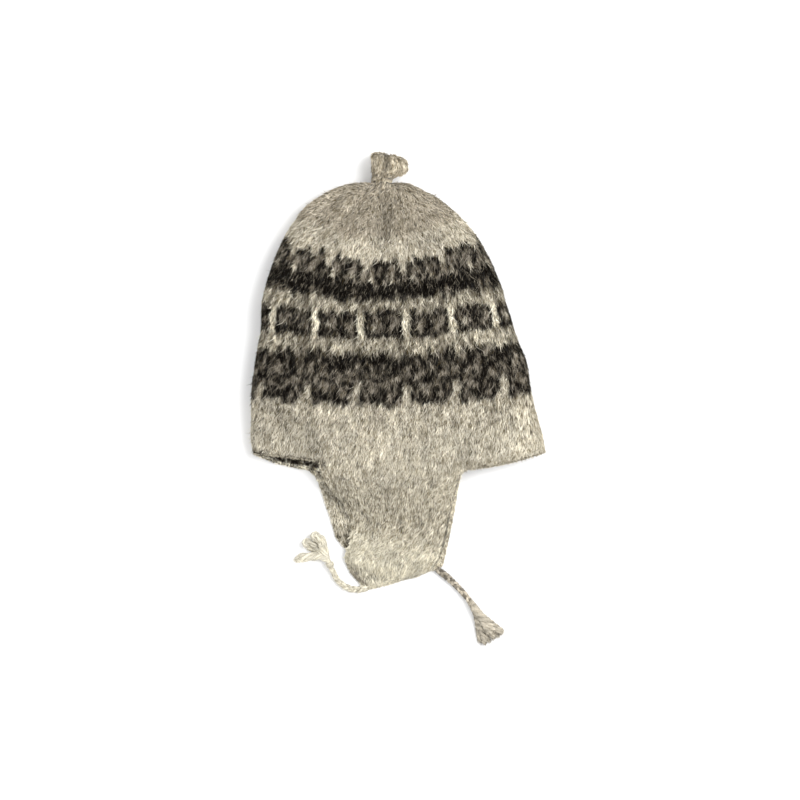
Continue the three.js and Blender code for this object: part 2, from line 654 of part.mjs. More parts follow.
// A tassel: a bound neck, a small head and strands that fan out on the floor, joined into one
function tasselGeometry(exit, route, strands, tasselLength) {
  const { end, heading } = tieEnd(exit, route);
  const sideways = Math.atan2(heading.y, heading.x);
  const start = end.clone().addScaledVector(heading, seamGap);
  const afterNeck = start.clone().addScaledVector(heading, neckLength);
  const headPoint = afterNeck.clone().addScaledVector(heading, tasselNeck);
  let tassel = solidOf(barGeometry([start, afterNeck, headPoint], tasselNeck, neckMesh.sides, neckMesh.steps));
  const head = new THREE.SphereGeometry(strandDiameter, headMesh.around, headMesh.rings);
  head.translate(headPoint.x, headPoint.y, headPoint.z);
  tassel = tassel.add(solidOf(head));
  for (const strand of strands) {
    const points = [headPoint.clone()];
    for (let i = 1; i <= strandMesh.bends; i++) {
      const share = i / strandMesh.bends;
      const turn = strand.heading * smooth(share / strandEase.turn) + strand.curl * share;
      const angle = sideways + radians(turn);
      const step = (strand.long * tasselLength) / strandMesh.bends;
      const point = points.at(-1).clone();
      point.x += step * Math.cos(angle);
      point.y += step * Math.sin(angle);
      const lie = strandDiameter * (0.5 + strand.rest);
      point.z = mix(headPoint.z, lie, smooth(share / strandEase.fall));
      points.push(point);
    }
    const bar = barGeometry(points, strandDiameter / 2, strandMesh.sides, strandMesh.steps);
    tassel = tassel.add(solidOf(bar));
  }
  return geometryFrom(tassel);
}

// Turns of yarn round a tassel's neck, joined into one ring
function bindingGeometry(exit, route) {
  const { end, heading } = tieEnd(exit, route);
  const inner = tasselNeck + seamGap;
  const { sides, around } = bindingMesh;
  const profile = [];
  for (let turn = 0; turn < bindingTurns; turn++) {
    for (let i = 0; i < sides; i++) {
      const angle = Math.PI * (i / (sides - 1));
      const radius = inner + bindingYarn * mix(bindingHollow, 1, Math.sin(angle));
      profile.push(new THREE.Vector2(radius, (turn + 0.5 - Math.cos(angle) / 2) * bindingYarn));
    }
  }
  profile.push(new THREE.Vector2(inner, profile.at(-1).y));
  profile.unshift(new THREE.Vector2(inner, profile[0].y));
  profile.push(profile[0].clone());
  const ring = mergeVertices(new THREE.LatheGeometry(profile, around));
  ring.rotateX(Math.PI / 2);
  const turn = new THREE.Quaternion().setFromUnitVectors(vector(0, 0, 1), heading);
  ring.applyQuaternion(turn);
  const start = end.clone().addScaledVector(heading, 2 * seamGap);
  ring.translate(start.x, start.y, start.z);
  return ring;
}

// The tuft stands on the crown's neck, along the neck's own axis
function tuftGeometry() {
  const neck = rowMeasures(lastRow);
  const around = tuftAround;
  const rings = tuftRows.map(({ along: share, radius, shift, lobe }) =>
    Array.from({ length: around }, (_, j) => {
      const angle = (2 * Math.PI * j) / around;
      const slow = tuftUneven.share * Math.cos(tuftUneven.lobes * angle);
      const wave = 1 + lobe * (Math.cos(tuftLobes * angle + tuftLobePhase) + slow);
      const reach = radius * tuftRadius * wave;
      const flatness = mix(1, tuftFlatness, smooth(share / tuftFlatFrom));
      const x = reach * Math.cos(angle) + shift * tuftRadius;
      return vector(x, share * tuftLength, reach * Math.sin(angle) * flatness);
    }),
  );
  const points = rings.flat();
  const faces = [];
  for (let i = 0; i < rings.length - 1; i++) {
    for (let j = 0; j < around; j++) {
      const k = (j + 1) % around;
      faces.push(...quad(i * around + j, (i + 1) * around + j, (i + 1) * around + k, i * around + k));
    }
  }
  const base = points.push(vector(0, 0, 0)) - 1;
  const dimple = points.push(vector(0, tuftDimple * tuftLength, 0)) - 1;
  const end = (rings.length - 1) * around;
  for (let j = 0; j < around; j++) {
    const k = (j + 1) % around;
    faces.push([base, j, k], [dimple, end + k, end + j]);
  }
  const geometry = geometryOf(points, faces);
  geometry.rotateZ(radians(tuftTurn));
  geometry.computeBoundingBox();
  const height = (neck.top + neck.bottom) / 2;
  const lean = tuftRadius * tuftRows[0].radius * Math.sin(radians(Math.abs(tuftTurn)));
  geometry.translate(neck.centre, neck.middle + seamGap + lean, height);
  geometry.computeBoundingBox();
  const sunk = Math.max(0, -geometry.boundingBox.min.z);
  return geometry.translate(0, 0, sunk);
}

// Yarn colours
const greyYarn = { color: 0xb4a996, roughness: 0.95, metalness: 0 };
const paleGreyYarn = { color: 0xc4bca8, roughness: 0.95, metalness: 0 };
const creamYarn = { color: 0xdbd4be, roughness: 0.95, metalness: 0 };
const heatherYarn = { color: 0xb9ae9b, roughness: 0.95, metalness: 0 };

function piece(name, geometry, look) {
  const flat = geometry.index ? geometry.toNonIndexed() : geometry;
  flat.computeVertexNormals();
  const mesh = new THREE.Mesh(flat, new THREE.MeshStandardMaterial(look));
  mesh.name = name;
  return mesh;
}

const hat = new THREE.Group();
const knittedBody = new THREE.Group();
knittedBody.add(
  piece("crown", crownGeometry(), greyYarn),
  piece("ear_flap_upper", flapWithSocket(upperFlapRows, true, leftExit, leftTieRoute), paleGreyYarn),
  piece("ear_flap_lower", flapWithSocket(lowerFlapRows, false, rightExit, rightTieRoute), paleGreyYarn),
  piece("top_tuft", tuftGeometry(), greyYarn),
);
const ties = new THREE.Group();
ties.add(
  piece("tie_left", tieGeometry(leftExit, leftTieRoute), creamYarn),
  piece("tie_right", tieGeometry(rightExit, rightTieRoute), heatherYarn),
  piece("binding_left", bindingGeometry(leftExit, leftTieRoute), creamYarn),
  piece("binding_right", bindingGeometry(rightExit, rightTieRoute), heatherYarn),
  piece("tassel_left", tasselGeometry(leftExit, leftTieRoute, leftStrands, leftTasselLength), creamYarn),
  piece("tassel_right", tasselGeometry(rightExit, rightTieRoute, rightStrands, rightTasselLength), heatherYarn),
);
hat.add(knittedBody, ties);

// The origin lies under the middle of the knitted body
const extent = new THREE.Box3().setFromObject(knittedBody);
const middle = extent.getCenter(new THREE.Vector3());
hat.position.set(-middle.x, -middle.y, -extent.min.z);

export default hat;
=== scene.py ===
import math
from functools import partial

import bpy
import numpy as np
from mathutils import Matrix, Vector


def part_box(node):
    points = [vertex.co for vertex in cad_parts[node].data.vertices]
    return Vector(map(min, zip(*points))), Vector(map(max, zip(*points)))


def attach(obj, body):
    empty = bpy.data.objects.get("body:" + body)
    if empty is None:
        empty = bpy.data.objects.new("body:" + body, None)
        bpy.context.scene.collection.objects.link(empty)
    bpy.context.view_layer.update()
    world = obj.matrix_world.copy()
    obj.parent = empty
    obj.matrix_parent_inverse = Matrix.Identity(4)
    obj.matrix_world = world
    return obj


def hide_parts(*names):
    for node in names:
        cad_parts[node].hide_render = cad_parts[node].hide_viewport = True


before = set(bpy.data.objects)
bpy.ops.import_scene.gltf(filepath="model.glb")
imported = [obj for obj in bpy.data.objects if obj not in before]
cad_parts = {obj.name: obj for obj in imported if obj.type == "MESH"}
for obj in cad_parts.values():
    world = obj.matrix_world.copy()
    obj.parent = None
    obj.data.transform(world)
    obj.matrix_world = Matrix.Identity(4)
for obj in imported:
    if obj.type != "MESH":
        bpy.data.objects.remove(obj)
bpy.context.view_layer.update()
print("frame loaded")

mm = 0.001

# Sizes of the knitted body
knitWall = 3.6 * mm
seamGap = 0.3 * mm
leastHeight = 0.15 * mm
halfCrown = 259 * mm / 2
crownLength = 232 * mm
crownLoft = 46 * mm
sideRun = 20 * mm
sideRise = 0.36
topFullness = 2.35
rimBow = 2.7
crownBow = 2
rimTurnRow = 26
rimTurn = {"upperLeft": 0.11, "upperRight": -0.01, "lowerLeft": -0.04, "lowerRight": 0.03}
rowTilt = {"rise": 0.02, "fromRow": -10, "toRow": 60}
rimCornerY = -71.6 * mm
stitchesRound = 120

# Rows of knitting, counted from the rim, as shares of the sizes above
knitRows = {
    "row": [0, 6, 13, 20, 27, 33, 37, 45, 48, 54, 60, 66, 71, 75, 78, 80, 81],
    "middle": [-0.068, 0.006, 0.1, 0.193, 0.296, 0.386, 0.437, 0.543, 0.58, 0.654, 0.73, 0.805, 0.868, 0.92,
               0.965, 0.996, 1.019],
    "edge": [0.002, 0.066, 0.148, 0.228, 0.33, 0.423, 0.479, 0.577, 0.64, 0.734, 0.824, 0.895, 0.951, 0.988,
             1.006, 1.019, 1.019],
    "halfWidth": [0.99, 0.985, 0.963, 0.946, 0.92, 0.872, 0.85, 0.82, 0.789, 0.724, 0.64, 0.535, 0.413, 0.3,
                  0.235, 0.145, 0.074],
    "centre": [0.01, -0.012, -0.032, -0.047, -0.052, -0.07, -0.077, -0.1, -0.104, -0.112, -0.118, -0.132,
               -0.142, -0.144, -0.137, -0.118, -0.108],
    "loft": [0.59, 0.68, 0.79, 0.87, 0.94, 0.98, 1, 1, 0.99, 0.97, 0.93, 0.87, 0.79, 0.71, 0.63, 0.54, 0.52],
    "lift": [0, 0, 0, 0, 0, 0, 0, 0, 0, 0, 0, 0, 0, 0.004, 0.03, 0.07, 0.085],
}
lastRow = 81
neckRow = 80
gathers = {"count": 10, "depth": 0.085, "firstRow": 62, "fullRow": 77, "neckDepth": 0.025}

# Dents of the upper layer: across, up, turn in degrees, long, wide, deep. Across, long and wide are shares of
# halfCrown, up of crownLength and deep of crownLoft
dents = {
    "crease under the neck": (-0.09, 0.86, 8, 0.23, 0.062, 0.12),
    "left shoulder": (-0.42, 0.74, -28, 0.26, 0.116, 0.056),
    "right shoulder": (0.2, 0.78, 24, 0.28, 0.108, 0.048),
    "hollow over the middle band": (0.02, 0.56, 86, 0.46, 0.093, 0.052),
    "fold beside the left flap edge": (-0.6, 0.1, -8, 0.32, 0.07, 0.07),
    "fold in the left corner": (-0.78, 0.12, -24, 0.23, 0.062, 0.052),
    "fold beside the right flap edge": (0.5, 0.06, 6, 0.26, 0.093, 0.048),
}
dentFade = {"firstRow": 76, "lastRow": 80}

# Ear flaps: ends of each section as shares of halfCrown, drops as shares of the flap's length
flapLength = 119.5 * mm
flapDown = [0, 0.12, 0.25, 0.4, 0.55, 0.7, 0.82, 0.92, 0.97, 1]
upperFlap = {
    "down": flapDown,
    "left": [-0.545, -0.505, -0.445, -0.355, -0.31, -0.322, -0.362, -0.316, -0.262, -0.222],
    "leftDrop": [0.07, 0.17, 0.275, 0.39, 0.515, 0.655, 0.775, 0.88, 0.945, 1],
    "right": [0.443, 0.413, 0.389, 0.366, 0.342, 0.32, 0.295, 0.268, 0.225, 0.135],
    "rightDrop": [0.13, 0.205, 0.3, 0.405, 0.515, 0.632, 0.735, 0.8, 0.857, 0.91],
}
lowerFlap = {
    "down": flapDown,
    "left": [-0.592, -0.543, -0.513, -0.483, -0.45, -0.423, -0.37, -0.275, -0.14, 0.02],
    "leftDrop": [0.115, 0.2, 0.29, 0.395, 0.5, 0.605, 0.685, 0.76, 0.815, 0.84],
    "right": [0.45, 0.42, 0.403, 0.387, 0.367, 0.347, 0.33, 0.315, 0.302, 0.272],
    "rightDrop": [0.125, 0.205, 0.295, 0.4, 0.51, 0.61, 0.69, 0.765, 0.818, 0.858],
}
flapSlopeEnd = 0.58
flapEase = {"clear": 1.5 * mm, "run": 12 * mm}
flapBlend = {"spread": 0.3, "bow": 0.8}
rimSlopeRow = 0.8

# Yarn colours, linear
yarns = {
    "heather": (0.50, 0.458, 0.365),
    "light": (0.465, 0.422, 0.332),
    "stripe": (0.34, 0.306, 0.234),
    "crownTop": (0.365, 0.322, 0.247),
    "dark": (0.0065, 0.0052, 0.004),
    "grey": (0.215, 0.188, 0.146),
    "fleck": (0.10, 0.085, 0.062),
    "cream": (0.60, 0.55, 0.43),
    "flapGrey": (0.42, 0.383, 0.30),
    "flapTip": (0.575, 0.535, 0.425),
    # A grey read off a flap edge in shade, used as painted shade on the flaps
    "flapShadeGrey": (0.36, 0.325, 0.252),
    "knob": (0.455, 0.40, 0.303),
    "brown": (0.07, 0.053, 0.037),
    # Painted shadow for the rim's slit, and painted light for the lip under it
    "slitShadowBrown": (0.022, 0.0165, 0.012),
    "lipPaintedLight": (0.85, 0.79, 0.64),
    "creamTie": (0.70, 0.655, 0.535),
    "leftTassel": (0.76, 0.715, 0.59),
    "greyTie": (0.40, 0.355, 0.285),
    "rightTassel": (0.53, 0.48, 0.39),
}

# Charted bands, top row first, ten stitches wide: . ground, D dark, G grey, L light, C cream and M mixed,
# where the brushing has blurred dark and grey stitches
bandOneMotif = ["..DDDDDDD.", "LDDDMDDDDD", "LDMMMDMGMD", "MDMGMDGMMD", "GDGDMDMGDD", "MMLDDGMLDM"]
bandTwo = ["CDDMDMDDMD", "CDDDDDDMDD", "CDMMGDMDGD", "CDMLMDDMGD", "CDDMMDDGMD", "CDDDDMDDDD", "CDDMDDDDMD"]
bandThreeMotif = [
    "MDMGMMDDMM", "MDGDMDMGMD", "MDMMDMGDMM", "LDMGMDMDMD", "LDMDGMDMMD", "LDMDDMDGDM", "LDDMDDDDDM",
]
solidDark = ["DDDMDDDDMD", "DDDDDDDDDD", "MDDDDDDDMD"]
blurredDark = ["DMDDMDDMMD", "DDMDDDDMDD", "MDDMDMDDMD"]
chartBands = [
    {"from": 20, "to": 28.5, "rows": bandThreeMotif, "ground": "light"},
    {"from": 28.5, "to": 33, "rows": blurredDark, "ground": "dark"},
    {"from": 37, "to": 45, "rows": bandTwo, "ground": "stripe"},
    {"from": 48, "to": 54, "rows": solidDark, "ground": "dark"},
    {"from": 54, "to": 60, "rows": bandOneMotif, "ground": "light"},
]
grounds = [(0, "heather"), (12, "light"), (33, "stripe"), (60, "light"), (66.5, "crownTop")]
# Share of flecks by row, in the plain stripes between the bands
fleckRows = [[10, 13, 19.5, 20.5, 32.8, 33.2, 36.8, 37.2, 44.8, 45.2, 47.8, 48.2],
             [0, 0.3, 0.45, 0, 0, 0.9, 0.9, 0, 0, 0.9, 0.9, 0]]
chartLetters = {"D": "dark", "G": "grey", "L": "light", "C": "cream"}
chartPhase = {"x": 7 * mm, "row": 41, "twist": 0.078}


def smooth(share):
    share = np.clip(share, 0, 1)
    return share * share * (3 - 2 * share)


def mix(a, b, share):
    return a + (b - a) * share


# From 0 to 1 while a value goes from start over a run
def ramp(value, start, run):
    return smooth((value - start) / run)


# Colours mixed with the colour of a yarn
def dye(colours, yarnName, share):
    return mix(colours, np.array(yarns[yarnName]), share[..., None])


def unit(vectors):
    return vectors / np.maximum(np.linalg.norm(vectors, axis=-1, keepdims=True), 1e-12)


# A smooth curve through a table's column that doesn't overshoot
def curveThrough(keys, values, at):
    keys = np.asarray(keys, float)
    values = np.asarray(values, float)
    chord = np.diff(values) / np.diff(keys)
    slope = np.empty(len(keys))
    slope[0], slope[-1] = chord[0], chord[-1]
    before, after = chord[:-1], chord[1:]
    total = np.where(before + after == 0, 1, before + after)
    slope[1:-1] = np.where(before * after <= 0, 0, 2 * before * after / total)
    place = np.clip(at, keys[0], keys[-1])
    i = np.clip(np.searchsorted(keys, place), 1, len(keys) - 1)
    step = keys[i] - keys[i - 1]
    t = (place - keys[i - 1]) / step
    rise = values[i] - values[i - 1]
    first, second = slope[i - 1] * step, slope[i] * step
    square, cube = 3 * rise - 2 * first - second, first + second - 2 * rise
    return values[i - 1] + t * first + t**2 * square + t**3 * cube


# Soft noise from 0 to 1 on a wrapping lattice
def softNoise(u, v, seed, period=64):
    lattice = np.random.default_rng(seed).random((period, period))
    iu, iv = np.floor(u).astype(int), np.floor(v).astype(int)
    fu, fv = smooth(u - iu), smooth(v - iv)
    a = lattice[iu % period, iv % period]
    b = lattice[(iu + 1) % period, iv % period]
    c = lattice[iu % period, (iv + 1) % period]
    d = lattice[(iu + 1) % period, (iv + 1) % period]
    return mix(mix(a, b, fu), mix(c, d, fu), fv)


# The outline of a row seen along Y, from the right side over the top to the left and back under
def sectionOutline(halfWidth, top, bottom, side):
    run = min(sideRun, halfWidth)
    angle = np.linspace(0, math.pi, 193)
    power = 2 / topFullness
    topX = np.sign(np.cos(angle)) * np.abs(np.cos(angle)) ** power * halfWidth
    topZ = side + np.sin(angle) ** power * (top - side)
    turn = np.linspace(0, math.pi / 2, 31)[1:]
    turnX = halfWidth - run * (1 - np.cos(turn))
    turnZ = side - (side - bottom) * np.sin(turn)
    x = np.concatenate([topX, -turnX, turnX[::-1], topX[:1]])
    z = np.concatenate([topZ, turnZ, turnZ[::-1], topZ[:1]])
    lengths = np.concatenate([[0], np.cumsum(np.hypot(np.diff(x), np.diff(z)))])
    return x, z, lengths, lengths[len(topX) - 1]


def dentDepth(x, y):
    depth = np.zeros_like(x)
    for across, up, degrees, long, wide, deep in dents.values():
        dx = x - across * halfCrown
        dy = y - (rimCornerY + up * crownLength)
        turn = math.radians(degrees)
        lengthwise = (dx * math.sin(turn) + dy * math.cos(turn)) / (long * halfCrown)
        sideways = (dx * math.cos(turn) - dy * math.sin(turn)) / (wide * halfCrown)
        depth += deep * crownLoft * np.exp(-(lengthwise**2) - sideways**2)
    return depth


# Points of the crown's outside on one row, at shares of the way round
def crownPoint(row, rounds):
    column = {name: float(curveThrough(knitRows["row"], values, row)) for name, values in knitRows.items()}
    top, bottom = column["loft"] * crownLoft, column["lift"] * crownLoft
    side = mix(bottom, top, sideRise)
    halfWidth = column["halfWidth"] * halfCrown
    middle = rimCornerY + column["middle"] * crownLength
    edge = rimCornerY + column["edge"] * crownLength
    outlineX, outlineZ, lengths, topEnd = sectionOutline(halfWidth, top, bottom, side)
    share = np.mod(rounds, 1)
    target = share * lengths[-1]
    x = np.interp(target, lengths, outlineX)
    z = np.interp(target, lengths, outlineZ)
    upper = target <= topEnd
    across = x / halfWidth
    fromRim = float(smooth(row / rimTurnRow))
    inward = 1 - np.abs(across) ** mix(rimBow, crownBow, fromRim)
    turnedAbove = np.where(across < 0, rimTurn["upperLeft"], rimTurn["upperRight"])
    turnedBelow = np.where(across < 0, rimTurn["lowerLeft"], rimTurn["lowerRight"])
    turned = np.where(upper, turnedAbove, turnedBelow) * (1 - fromRim)
    tiltShare = np.clip((row - rowTilt["fromRow"]) / (rowTilt["toRow"] - rowTilt["fromRow"]), 0, 1)
    tilt = rowTilt["rise"] * math.sin(math.pi * tiltShare)
    y = mix(edge, middle, inward) + halfCrown * across * (tilt + np.sign(across) * turned * inward)
    drawnIn = float(ramp(row, gathers["firstRow"], gathers["fullRow"] - gathers["firstRow"]))
    depth = mix(gathers["depth"], gathers["neckDepth"], float(smooth(row - lastRow + 1))) * drawnIn
    pucker = 1 + depth * np.cos(2 * math.pi * gathers["count"] * share)
    x = x * pucker
    z = side + (z - side) * pucker
    height = (z - side) / (top - side)
    centre = column["centre"] * halfCrown
    fade = 1 - float(ramp(row, dentFade["firstRow"], dentFade["lastRow"] - dentFade["firstRow"]))
    z = np.where(upper, z - dentDepth(centre + x, y) * smooth(height) * fade, z)
    return np.stack([centre + x, y, np.maximum(z, 0)], axis=-1)


def crownNormal(row, rounds):
    rowStep, roundStep = 0.4, 0.004
    near = min(max(row, rowStep), lastRow - rowStep)
    alongRow = crownPoint(near + rowStep, rounds) - crownPoint(near - rowStep, rounds)
    alongRound = crownPoint(near, rounds + roundStep) - crownPoint(near, rounds - roundStep)
    return unit(np.cross(alongRow, alongRound))


# A knitted edge is rounded: this is how far a skin lies in from its face at a distance from the edge
def edgeInset(distance, wall=knitWall):
    share = np.clip(distance / (wall / 2), 0, 1)
    return wall / 2 * (1 - np.sqrt(np.maximum(0, 1 - (1 - share) ** 2)))


def flapPlan(flap, down):
    place = {name: curveThrough(flap["down"], flap[name], down) for name in flap if name != "down"}
    left = np.stack([place["left"] * halfCrown, rimCornerY - place["leftDrop"] * flapLength], axis=-1)
    right = np.stack([place["right"] * halfCrown, rimCornerY - place["rightDrop"] * flapLength], axis=-1)
    return left, right


# Distance from places to a line of points, and whether they lie inside it when it is closed
def distanceToLine(line, x, y, closed):
    ends = np.roll(line, -1, axis=0) if closed else line[1:]
    nearest = np.full(x.shape, np.inf)
    inside = np.zeros(x.shape, bool)
    for a, b in zip(line, ends):
        dx, dy = b - a
        t = np.clip(((x - a[0]) * dx + (y - a[1]) * dy) / max(dx * dx + dy * dy, 1e-18), 0, 1)
        nearest = np.minimum(nearest, np.hypot(x - a[0] - t * dx, y - a[1] - t * dy))
        crosses = (a[1] > y) != (b[1] > y)
        inside ^= crosses & (x < a[0] + (y - a[1]) * dx / (dy if dy else 1e-18))
    return nearest, inside


def flapOutline(flap, steps=48):
    left, right = flapPlan(flap, np.linspace(0, 1, steps + 1))
    return np.concatenate([left, right[::-1]])


# The share of the way round at which a row passes over a place in x
def roundAt(x, upper, row=0):
    low, high = (0.02, 0.5) if upper else (0.55, 0.98)
    for _ in range(40):
        middle = (low + high) / 2
        beyond = crownPoint(row, np.array([middle]))[0, 0] > x
        if beyond == upper:
            low = middle
        else:
            high = middle
    return (low + high) / 2


# Upper skin of a flap as a grid of points, and the direction away from the crown at its root
def flapSurface(flap, upper, downs, acrosses):
    rootLeft, rootRight = flapPlan(flap, 0.0)
    roundLeft, roundRight = roundAt(rootLeft[0], upper), roundAt(rootRight[0], upper)
    rounds = mix(roundLeft, roundRight, acrosses)
    rim = crownPoint(0, rounds)
    away = unit(rim - crownPoint(rimSlopeRow, rounds))
    start = rim - crownNormal(0, rounds) * (0 if upper else knitWall)
    rows = []
    for down in downs:
        left, right = flapPlan(flap, down)
        spread = start[:, 0] - mix(rootLeft[0], rootRight[0], acrosses)
        spread = spread * (1 - smooth(down / flapBlend["spread"]))
        bow = (start[:, 1] - mix(rootLeft[1], rootRight[1], acrosses)) * (1 - smooth(down / flapBlend["bow"]))
        x = mix(left[0], right[0], acrosses) + spread
        y = mix(left[1], right[1], acrosses) + bow
        if upper:
            distance, inside = distanceToLine(flapOutline(lowerFlap, 24), x, y, True)
            beside = (np.where(inside, 0, distance) - flapEase["clear"]) / flapEase["run"]
            rest = knitWall + (knitWall + seamGap) * (1 - smooth(beside))
            t = min(max(down / flapSlopeEnd, 0), 1)
            firstFall = away[:, 2] / np.hypot(away[:, 0], away[:, 1]) * flapSlopeEnd * flapLength
            z = mix(start[:, 2], rest, smooth(t)) + t * (1 - t) ** 2 * firstFall
        else:
            z = np.full_like(x, knitWall)
        rows.append(np.stack([x, y, z], axis=-1))
    return np.array(rows), away


# Grid helpers: quads of a grid, and a surface's normals
def gridQuads(rows, columns, wrap=False, start=0, flip=False):
    last = columns if wrap else columns - 1
    i, j = np.meshgrid(np.arange(rows - 1), np.arange(last), indexing="ij")
    k = (j + 1) % columns
    row, above = i * columns, (i + 1) * columns
    quads = np.stack([row + j, above + j, above + k, row + k], axis=-1)
    quads = quads.reshape(-1, 4) + start
    return quads[:, ::-1] if flip else quads


def gridNormals(points):
    return unit(np.cross(np.gradient(points, axis=0), np.gradient(points, axis=1)))


# Values for each point of a mesh: colours, vectors or plain numbers
def storeValues(mesh, label, values):
    values = np.asarray(values, np.float32)
    kind, field = ("FLOAT_VECTOR", "vector") if values.ndim == 2 else ("FLOAT", "value")
    if label.endswith("Colour"):
        values = np.concatenate([values, np.ones((len(values), 1), np.float32)], axis=1)
        kind, field = "FLOAT_COLOR", "color"
    mesh.attributes.new(label, kind, "POINT").data.foreach_set(field, values.ravel())


def placeObject(name, data):
    placed = bpy.data.objects.new(name, data)
    bpy.context.scene.collection.objects.link(placed)
    return placed


# A mesh with its point values, its stitches as UV map and some faces left flat
def makeMesh(name, points, faces, attributes, uv, flat=()):
    mesh = bpy.data.meshes.new(name)
    mesh.from_pydata(points.tolist(), [], faces)
    for label, values in attributes.items():
        storeValues(mesh, label, values)
    mesh.uv_layers.new(name="knit").data.foreach_set("uv", np.asarray(uv, np.float32).ravel())
    smoothFaces = np.ones(len(mesh.polygons), bool)
    smoothFaces[list(flat)] = False
    mesh.polygons.foreach_set("use_smooth", smoothFaces)
    mesh.validate()
    mesh.update()
    return placeObject(name, mesh)


# Colours of the knitting at rows and columns, with the uneven edges that brushing leaves
def knitColours(rows, columns):
    wale = np.floor(columns + 0.5)
    finger = softNoise(wale * 7.3 + 0.5, rows * 0.12 + 3, 5) - 0.5
    legs = np.abs(columns + 0.5 - np.floor(columns + 0.5) - 0.5)
    wander = softNoise(columns * 0.9 + 11, rows * 0.8 + 5, 6) - 0.5
    row = rows + 2.4 * finger + 1.2 * (legs - 0.25) + 1.1 * wander
    sway = softNoise(columns * 0.4 + 31, rows * 0.7 + 9, 7) - 0.5
    place = np.mod(columns + 0.5 + 0.6 * sway, 10)
    column = np.where((place < 1.3) | (place > 9.8), 0, place.astype(int))
    colours = np.empty(rows.shape + (3,))
    for start, name in grounds:
        colours[row >= start] = yarns[name]
    colours[row < 0] = yarns["heather"]
    for band in chartBands:
        inBand = (row >= band["from"]) & (row < band["to"])
        colours[inBand] = yarns[band["ground"]]
        count = len(band["rows"])
        line = np.clip(((band["to"] - row) / (band["to"] - band["from"]) * count).astype(int), 0, count - 1)
        chart = np.array([list(text) for text in band["rows"]])
        letters = chart[line, column]
        for letter, name in chartLetters.items():
            colours[inBand & (letters == letter)] = yarns[name]
        mixed = softNoise(columns * 1.9 + 5, rows * 1.5 + 17, 8)
        blurred = dye(np.array(yarns["dark"]), "grey", ramp(mixed, 0.45, 0.14))
        colours = np.where((inBand & (letters == "M"))[..., None], blurred, colours)
    flecks = softNoise(columns * 2.1 + 3, rows * 0.7 + 1, 9)
    share = np.interp(row, *fleckRows)
    colours = dye(colours, "fleck", share * ramp(flecks, 0.55, 0.25))
    return dye(colours, "cream", 0.9 * share * smooth((0.42 - flecks) / 0.25))


# Slow changes of tone and streaks along the wales, over u and v in stitches
def shade(colours, u, v, seed, streaks=0.34, slow=0.2):
    broad = softNoise(u * 0.13, v * 0.1, seed) - 0.5
    streak = softNoise(u * 0.9 + 7, v * 0.2 + 3, seed + 1) - 0.5
    fine = softNoise(u * 2 + 5, v * 0.5 + 9, seed + 2) - 0.5
    return colours * (1 + slow * broad + streaks * (streak + 0.8 * fine))[..., None]


# Crown: an outer skin from the rim to the neck and an inner one, joined round the rim
crownLook = {
    "around": 360,
    "outerRows": 140,
    "innerRows": 20,
    "rimRows": [0, 0.03, 0.1, 0.2, 0.34, 0.5, 0.7],
    "inset": 1.3 * mm,
    "lumps": 0.6 * mm,
    "combLean": 8,
    "shortRows": 3.5,
    "shortest": 0.3,
    "dentShadeFull": 0.12,
    "dentShadeShare": 0.34,
    "slitRows": 0.6,
    "slitFade": 1.2,
    "slitCornerRows": 1.5,
    "slitLip": 1.2,
    "slitLeft": 0.42,
    "slitRun": 0.1,
    "foldLeft": 0.8,
    "foldRun": 0.12,
    "lipLeft": 0.3,
    "topRounds": 0.52,
    "topFromRow": 34,
    "lipRows": 5,
}
# Contrast of the fibres by row, stronger in the bands and stripes
rowContrast = [[0, 10, 13, 19, 20, 32, 33.5, 36.5, 38, 44, 45.5, 47.5, 49, 60, 61, 67],
               [1, 1, 1.25, 1.3, 1.2, 1.2, 1.5, 1.5, 1.4, 1.4, 1.5, 1.5, 1.15, 1.15, 1.1, 1.15]]
edgeStray = {"fromRow": 60, "rows": 12, "more": 1.3}

upperRoot = [roundAt(p[0], True) for p in flapPlan(upperFlap, 0.0)]
lowerRoot = [roundAt(p[0], False) for p in flapPlan(lowerFlap, 0.0)]


# How free the rim is at a share of the way round: 0 where a flap is knitted on
def rimFree(rounds):
    share = np.mod(rounds, 1)
    free = np.ones_like(share)
    for low, high in (sorted(upperRoot), sorted(lowerRoot)):
        outside = np.maximum(low - share, share - high)
        free = np.minimum(free, smooth(outside / 0.006))
    return free


def crownGrid(rows, depth, inset):
    rounds = np.arange(crownLook["around"]) / crownLook["around"]
    rings = np.array([crownPoint(row, rounds) for row in rows])
    normals = np.array([crownNormal(row, rounds) for row in rows])
    pitch = np.linalg.norm(crownPoint(0, rounds) - crownPoint(1, rounds), axis=-1)
    distance = rows[:, None] * pitch[None, :]
    rounding = edgeInset(distance) * rimFree(rounds)[None, :]
    side = 1 if depth == 0 else -1
    lumps = (softNoise(rounds[None, :] * 64, rows[:, None] * 0.45, 3) - 0.5) * crownLook["lumps"]
    offset = -depth - side * rounding - inset + (lumps if depth == 0 else 0)
    return rings + normals * offset[..., None], normals, rounds


chartRound = roundAt(chartPhase["x"], True, chartPhase["row"])


def columnOf(rows, rounds):
    return stitchesRound * (chartRound - rounds) - chartPhase["twist"] * (rows - chartPhase["row"])


# The direction in which the crown's fibres lie: down the wales, leaning a little
def combCrown(points, normals, rows):
    up = np.gradient(points, rows, axis=0)
    around = (np.roll(points, -1, axis=1) - np.roll(points, 1, axis=1)) * crownLook["around"] / 2
    wale = unit(up - around * chartPhase["twist"] / stitchesRound)
    sideways = np.cross(normals, wale)
    lean = math.radians(crownLook["combLean"])
    return unit(-(wale * math.cos(lean) - sideways * math.sin(lean)))


bodyShift = np.zeros(3)


